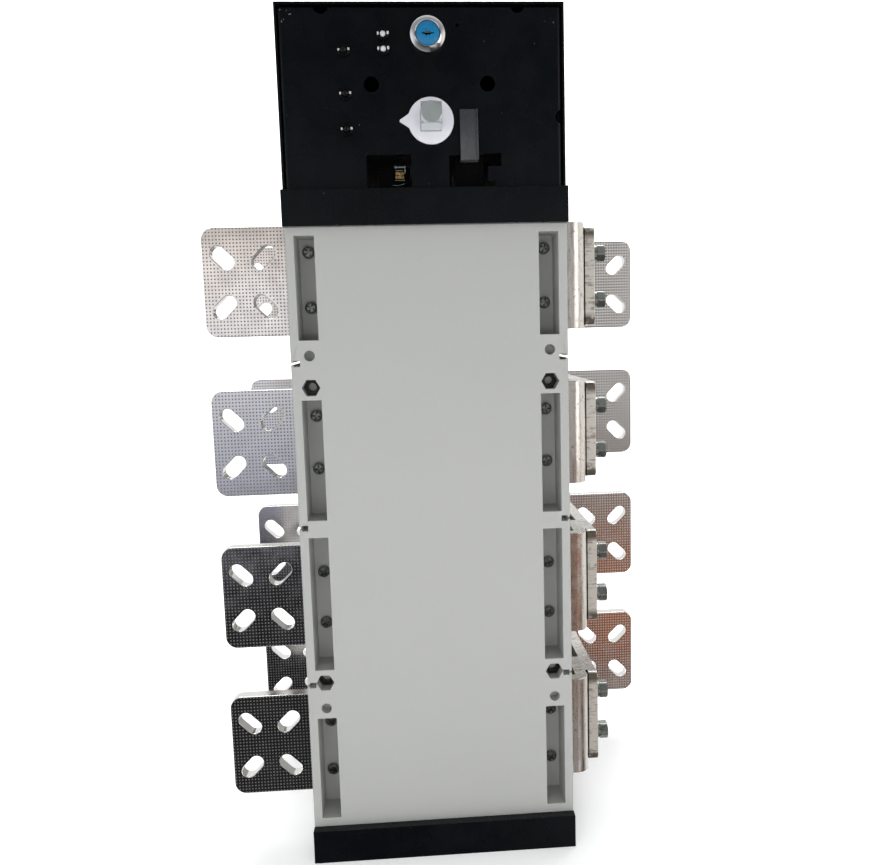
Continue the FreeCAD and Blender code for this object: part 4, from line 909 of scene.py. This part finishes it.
def make_lamps():
    """Signal lamps: a collar, two bright tabs of the spring clip that stand as painted glints, and
    a lens each.
    """
    collar = made(lathe, [(2.55, -11), (3.9, -11), (3.9, 0), (4.7, 0), (4.65, 0.7), (4.45, 1.25),
                          (4.1, 1.7), (3.65, 2.05), (3.2, 2.25), (2.85, 2.3), (2.65, 2.1),
                          (2.55, 1.7), (2.55, -11)])
    places = [stand("-y", x, PLATE_FRONT, z) for x, z in LIT_LAMPS + DARK_LAMPS]
    bezels = smooth(add_copies("lamp_collars", collar, places), 60)
    finished(bezels, "bezel", "switch_body", "bezel", "lamp_bezels")
    # Two bright tabs beside each lens, as painted glints.
    for name, spots, half in (("clear_lens_glint_tabs", LIT_LAMPS, 1.1),
                              ("smoked_lens_glint_tabs", DARK_LAMPS, 0.85)):
        glint_tabs = bmesh.new()
        for x, z in spots:
            for x0, x1, up in ((x - 4.0, x - 2.6, 0.2), (x + 2.6, x + 4.2, 0.5)):
                box(glint_tabs, x0, x1, -117.6, -116.5, z - half + up, z + half + up)
        finished(round_edges(make_object(name, glint_tabs, weld=False), 0.35), "clip", "switch_body",
                 "bezel")
    for name, look, spots, wide, replaced in (
            ("clear_lenses", "lens", LIT_LAMPS, 1.95, ("lamp_lenses",)),
            ("smoked_lenses", "dark_lens", DARK_LAMPS, 2.4, ())):
        dome = [(0, -10), (wide, -10), (wide, 1.6)]
        dome += [(wide * math.cos(a * math.pi / 20), 1.6 + wide * math.sin(a * math.pi / 20))
                 for a in range(1, 10)]
        dome.append((0, 1.6 + wide))
        places = [stand("-y", x, PLATE_FRONT, z) for x, z in spots]
        lenses = smooth(add_copies(name, made(lathe, dome, 40), places), 60)
        finished(lenses, look, "switch_body", "lens", *replaced)


def make_lock():
    """Key lock: turned chrome ring round a blue cap with a key slot."""
    place = stand("-y", LOCK_X, PLATE_FRONT, LOCK_Z)
    shell = [(8.1, 1.9), (8.1, 5.9), (8.35, 6.25), (8.75, 6.35), (9.1, 6.2), (11.5, 4.55),
             (11.9, 4.15), (12, 3.7), (12, 0.3), (11.8, 0), (9, 0), (9, -20), (6.05, -20),
             (6.05, 1.9), (8.1, 1.9)]
    barrel = add_copies("lock_shell", made(lathe, shell, 96), [place])
    finished(smooth(barrel, 30), "chrome", "switch_body", "chrome", "lock_barrel")
    nut_body = carved(made(hex_block, 24, 0, 4),
                      made(lathe, [(0, -1), (9.05, -1), (9.05, 5), (0, 5)]))
    lock_nut = add_copies("lock_nut", nut_body, [stand("y", LOCK_X, -113, LOCK_Z)])
    finished(smooth(lock_nut), "zinc_screws", "switch_body", "chrome")

    face = made(lathe, [(0, 3.5), (7.7, 3.5), (8.0, 3.8), (8.0, 5.3), (7.8, 5.7), (7.4, 5.9),
                        (0, 5.9)], 72)
    # The keyway is worn open round its middle, so its outline is a slot with a ragged star.
    keyway = [(-4.2, -0.35), (-1.9, -0.75), (-0.9, -1.9), (0.2, -0.95), (1.5, -1.4), (2.2, -0.6),
              (4.2, -0.5), (4.2, 0.5), (2.2, 0.6), (1.4, 1.6), (0.1, 0.95), (-0.9, 1.8),
              (-1.9, 0.75), (-4.2, 0.35)]
    cap = add_copies("key_cap", carved(face, made(extrude, keyway, 0, 7)), [place])
    finished(smooth(cap, 30), "blue_plug", "lock_plug", "blue_plug", "lock_plug")
    core = carved(made(lathe, [(0, -21.5), (6, -21.5), (6, 3.6), (0, 3.6)]),
                  made(box, -3.6, 3.6, -0.8, 0.8, -3, 5))
    plug = add_copies("key_core", core, [place])
    finished(smooth(plug), "brass", "lock_plug", "chrome")
    # A small chrome pin at the right end of the keyway, put there as a painted glint.
    glint_pin = add_copies("keyway_glint_pin", made(box, 3.3, 4.0, -0.3, 0.3, 3.2, 5.4), [place])
    finished(round_edges(glint_pin, 0.1), "chrome", "lock_plug", "chrome")
    # A dark shutter a little way in, painted black as painted shade inside the keyway.
    keyway_shade_block = add_copies("key_shutter", made(box, -3.4, 3.4, -0.75, 0.75, -2.9, 2.4), [place])
    finished(smooth(round_edges(keyway_shade_block, 0.12)), "switch_case", "lock_plug", "blue_plug")
    cam = add_copies("lock_cam", made(box, -5, 21, -5, 5, -22.3, -20.3), [place])
    finished(round_edges(cam, 0.3), "steel", "lock_plug", "chrome")


def make_signal_switch():
    """Signalling switch behind the left window: case, steel clip, brass stud, ledge and lever."""
    def fitted(name, bm, width, look, *replaced, weld=True):
        finished(round_edges(make_object(name, bm, weld), width), look, "switch_body",
                 "switch_case", *replaced)
    case = made(box, -33, -11, -102, -84, 498, 515)
    hollow = made(box, -31.5, -12.5, -103, -101.3, 503, 513.5)
    fitted("signal_switch_case", carved(case, hollow), 0.4, "switch_case", "auxiliary_switch")

    clip = bmesh.new()
    box(clip, -21.4, -13.8, -105.2, -94, 513.7, 514.9)
    box(clip, -21.4, -20.2, -105.8, -104.8, 513.2, 515.3)
    box(clip, -14.6, -13.6, -105.8, -104.4, 509.8, 515.2)
    box(clip, -20.8, -15.6, -105.4, -103.4, 511.6, 512.4)
    fitted("signal_clip", clip, 0.2, "zinc_screws", weld=False)

    block = carved(made(box, -21, -14.6, -107, -102, 506, 510.8),
                   made(box, -18.05, -17.45, -108, -106.3, 505, 512),
                   made(box, -22, -13, -108, -106.3, 508.1, 508.7))
    fitted("signal_stud", block, 0.35, "brass")
    ledge = made(box, -21.3, -14.2, -107.4, -102, 504.7, 505.2)
    fitted("signal_ledge", ledge, 0.12, "zinc_screws")

    spring = bpy.data.curves.new("signal_lever", "CURVE")
    spring.dimensions = "3D"
    spring.bevel_depth = 0.35 * MM
    spring.bevel_resolution = 3
    spring.use_fill_caps = True
    line = spring.splines.new("NURBS")
    path = [(-25, -101.5, 503.5), (-24, -106, 502), (-19, -107, 500.8), (-13.5, -106.5, 503.2),
            (-11.5, -103, 504.2), (-11.5, -98, 503)]
    line.points.add(len(path) - 1)
    for spot, place in zip(line.points, path):
        spot.co = (*point(*place), 1)
    line.order_u = 4
    line.use_endpoint_u = True
    lever = placed("signal_lever", spring)
    mesh = bpy.data.meshes.new_from_object(
        lever.evaluated_get(bpy.context.evaluated_depsgraph_get()))
    bpy.data.objects.remove(lever)
    finished(smooth(placed("signal_lever", mesh)), "zinc_screws", "switch_body", "switch_case")


def make_furniture():
    make_lamps()
    make_lock()
    refined("indicator_disc", 0.35, look="white_plastic")
    make_signal_switch()
    refined("operating_shaft", 0.25, look="satin_zinc")
    refined("padlock_strip", 0.25, look="strip")
    refined("front_plate", 0.2, look="plate")


def make_rest():
    """The other CAD nodes, with their own shapes."""
    for node in ("front_cover", "rear_cover", "front_housing", "rear_housing"):
        refined(node, 0.35)
    for node in ("lower_end_frame", "upper_end_frame", "box_cover", "rear_panel"):
        refined(node, 0.3)
    # The nuts in their recesses get a dark copy of the steel as painted shade.
    refined("recess_nuts", 0.2, look="recess_shade_steel")
    # The strip's guide stands in the unlit inside of the box, so it gets a darker copy of the steel
    # as painted shade.
    upper = bpy.data.objects["upper_end_frame_piece"]
    upper.data.materials.append(LOOKS["inner_steel_painted_shade"])
    for polygon in upper.data.polygons:
        _, y, z = (value / MM for value in polygon.center)
        if z > 499 and -108.5 < y < -99.5:
            polygon.material_index = 1
    done = {name for obj in bpy.data.objects for name in obj.get("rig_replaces", [])}
    for node in sorted(set(SLOT_OF) - done):
        refined(node, 0.2)


make_fasteners()
make_conductors()
make_furniture()
make_rest()


# ---------------------------------------------------------------- stage, light and camera

def floor_look():
    """Pale sheet that glows a little more far out, so its rim melts into the white room."""
    look = Look("pale_floor", (0.93, 0.93, 0.93), 0.8, emission_color=(1, 1, 1, 1))
    away = look.tree.nodes.new("ShaderNodeVectorMath")
    away.operation = "LENGTH"
    look.link(look.place, away.inputs[0])
    look.link(look.ramp(away.outputs["Value"], 1.6, 4.0, 0.31, 0.62),
              look.shader.inputs["Emission Strength"])
    look.bump(look.noise(60, 3), 0.3, 0.2)
    return look.material


def make_stage():
    """Floor that bends up into a wall far behind the object."""
    bm = bmesh.new()
    wide, back, rise, bend = 6000, 2600, 3600, 900
    rows = [(-wide, 0)]
    for step in range(13):
        turn = step * math.pi / 24
        rows.append((back - bend + bend * math.sin(turn), bend - bend * math.cos(turn)))
    rows.append((back, rise))
    verts = [[bm.verts.new(point(x, y, z)) for x in (-wide, wide)] for y, z in rows]
    for low, high in zip(verts, verts[1:]):
        bm.faces.new((low[0], low[1], high[1], high[0]))
    obj = make_object("floor_sweep", bm)
    obj.data.shade_smooth()
    obj.data.materials.append(floor_look())
    obj.visible_glossy = False


def make_world():
    """White for the camera, an even grey for soft light, and a room of strips for reflections."""
    world = bpy.data.worlds.new("studio")
    world.use_nodes = True
    tree = world.node_tree
    nodes, links = tree.nodes, tree.links
    for node in list(nodes):
        nodes.remove(node)
    out = nodes.new("ShaderNodeOutputWorld")
    place = nodes.new("ShaderNodeTexCoord")
    split = nodes.new("ShaderNodeSeparateXYZ")
    links.new(place.outputs["Generated"], split.inputs["Vector"])

    def shade(source, stops):
        node = nodes.new("ShaderNodeValToRGB")
        ramp = node.color_ramp
        while len(ramp.elements) < len(stops):
            ramp.elements.new(0.5)
        for element, (where, color) in zip(ramp.elements, stops):
            element.position = where
            element.color = (*color, 1)
        links.new(source, node.inputs["Fac"])
        return node.outputs["Color"]

    def ranged(source, low, high):
        node = nodes.new("ShaderNodeMapRange")
        node.inputs["From Min"].default_value = low
        node.inputs["From Max"].default_value = high
        links.new(source, node.inputs["Value"])
        return node.outputs["Result"]

    def mixed(factor, first, second):
        node = nodes.new("ShaderNodeMix")
        node.data_type = "RGBA"
        links.new(factor, node.inputs["Factor"])
        for socket, value in (("A", first), ("B", second)):
            if isinstance(value, tuple):
                node.inputs[socket].default_value = (*value, 1)
            else:
                links.new(value, node.inputs[socket])
        return node.outputs["Result"]

    up = split.outputs["Z"]
    level = ranged(up, -1, 1)
    night, dusk = (0.012, 0.012, 0.014), (0.03, 0.03, 0.03)
    above = [(0.72, dusk), (0.80, (0.20, 0.20, 0.205)), (1.0, (0.26, 0.26, 0.26))]
    left = shade(level, [(0.0, dusk), (0.382, night), (0.405, (0.40, 0.41, 0.50)),
                         (0.46, (0.64, 0.66, 0.76)), (0.525, (1.15, 1.11, 1.11)),
                         (0.562, (0.80, 0.70, 0.65)), (0.59, dusk)] + above)
    middle = shade(level, [(0.0, dusk), (0.38, night), (0.43, (0.40, 0.40, 0.42)),
                           (0.545, (0.45, 0.45, 0.45)), (0.565, dusk)] + above)
    right = shade(level, [(0.0, dusk), (0.16, (0.05, 0.045, 0.04)), (0.19, (0.80, 0.80, 0.80)),
                          (0.272, (0.80, 0.79, 0.78)), (0.292, (0.05, 0.04, 0.034)),
                          (0.333, (0.42, 0.12, 0.032)), (0.375, (0.28, 0.13, 0.075)),
                          (0.41, (0.27, 0.225, 0.21)), (0.45, (0.58, 0.57, 0.565)),
                          (0.56, (0.68, 0.66, 0.65)), (0.60, dusk)] + above)
    across = split.outputs["X"]
    front = mixed(ranged(across, -0.13, -0.10), left, middle)
    front = mixed(ranged(across, 0.148, 0.168), front, right)
    flank = mixed(ranged(across, -0.95, -0.80), (0.85, 0.86, 0.88), (0.30, 0.30, 0.30))
    shadow = mixed(ranged(level, 0.45, 0.30), flank, (0.05, 0.042, 0.038))
    flank = mixed(ranged(across, 0.11, 0.16), flank, shadow)
    flank = mixed(ranged(across, 0.80, 0.95), flank, (0.95, 0.90, 0.84))
    behind = mixed(ranged(split.outputs["Y"], -0.1, 0.3), flank, (0.92, 0.92, 0.93))
    room = mixed(ranged(split.outputs["Y"], -0.80, -0.45), front, behind)
    ray = nodes.new("ShaderNodeLightPath")
    soft = mixed(ray.outputs["Is Glossy Ray"], (0.40, 0.41, 0.42), room)
    seen = mixed(ray.outputs["Is Camera Ray"], soft, (1.0, 1.0, 1.0))
    back = nodes.new("ShaderNodeBackground")
    links.new(seen, back.inputs["Color"])
    back.inputs["Strength"].default_value = 1.0
    links.new(back.outputs["Background"], out.inputs["Surface"])
    bpy.context.scene.world = world


def area_light(name, place, target, wide, tall, power):
    data = bpy.data.lights.new(name, "AREA")
    data.shape = "RECTANGLE"
    data.size, data.size_y = wide, tall
    data.energy = power
    obj = placed(name, data)
    obj.location = place
    obj.rotation_euler = (Vector(target) - Vector(place)).to_track_quat("-Z", "Y").to_euler()
    return obj


def make_lights():
    key = area_light("key", (-1.2, -2.0, 0.6), (0, 0, 0.2), 1.6, 1.2, 6.5)
    key.visible_glossy = False
    area_light("fill", (1.6, -1.8, 0.5), (0, 0, 0.2), 1.4, 1.4, 8)
    top = area_light("top", (0.1, 0.2, 2.6), (0, 0, 0.3), 2.2, 1.8, 12)
    top.visible_glossy = False
    bounce = area_light("low_bounce", (0, -0.78, 0.28), (0, -0.6, 0), 0.7, 0.15, 1.7)
    bounce.visible_glossy = False
    bounce.visible_camera = False
    area_light("floor_wash", (0, 1.6, 2.4), (0, 1.4, 0), 3.0, 1.4, 60)


def make_camera():
    """Held a little above the middle of the object, turned slightly left and down."""
    data = bpy.data.cameras.new("camera")
    data.sensor_fit = "HORIZONTAL"
    data.sensor_width = 36
    data.lens = 34.21
    data.shift_x = -0.0423
    data.shift_y = -0.0023
    data.clip_start, data.clip_end = 0.02, 40
    obj = placed("camera", data)
    yaw, pitch, roll = -0.06567, -0.12111, 0.02556
    turn = (Matrix.Rotation(yaw, 4, "Z") @ Matrix.Rotation(pitch, 4, "X")
            @ Matrix.Rotation(roll, 4, "Y") @ Matrix.Rotation(math.pi / 2, 4, "X"))
    obj.matrix_world = Matrix.Translation((-0.01018, -0.71183, 0.39919)) @ turn
    bpy.context.scene.camera = obj


make_stage()
make_world()
make_lights()
make_camera()
bpy.context.scene.view_settings.view_transform = "Standard"
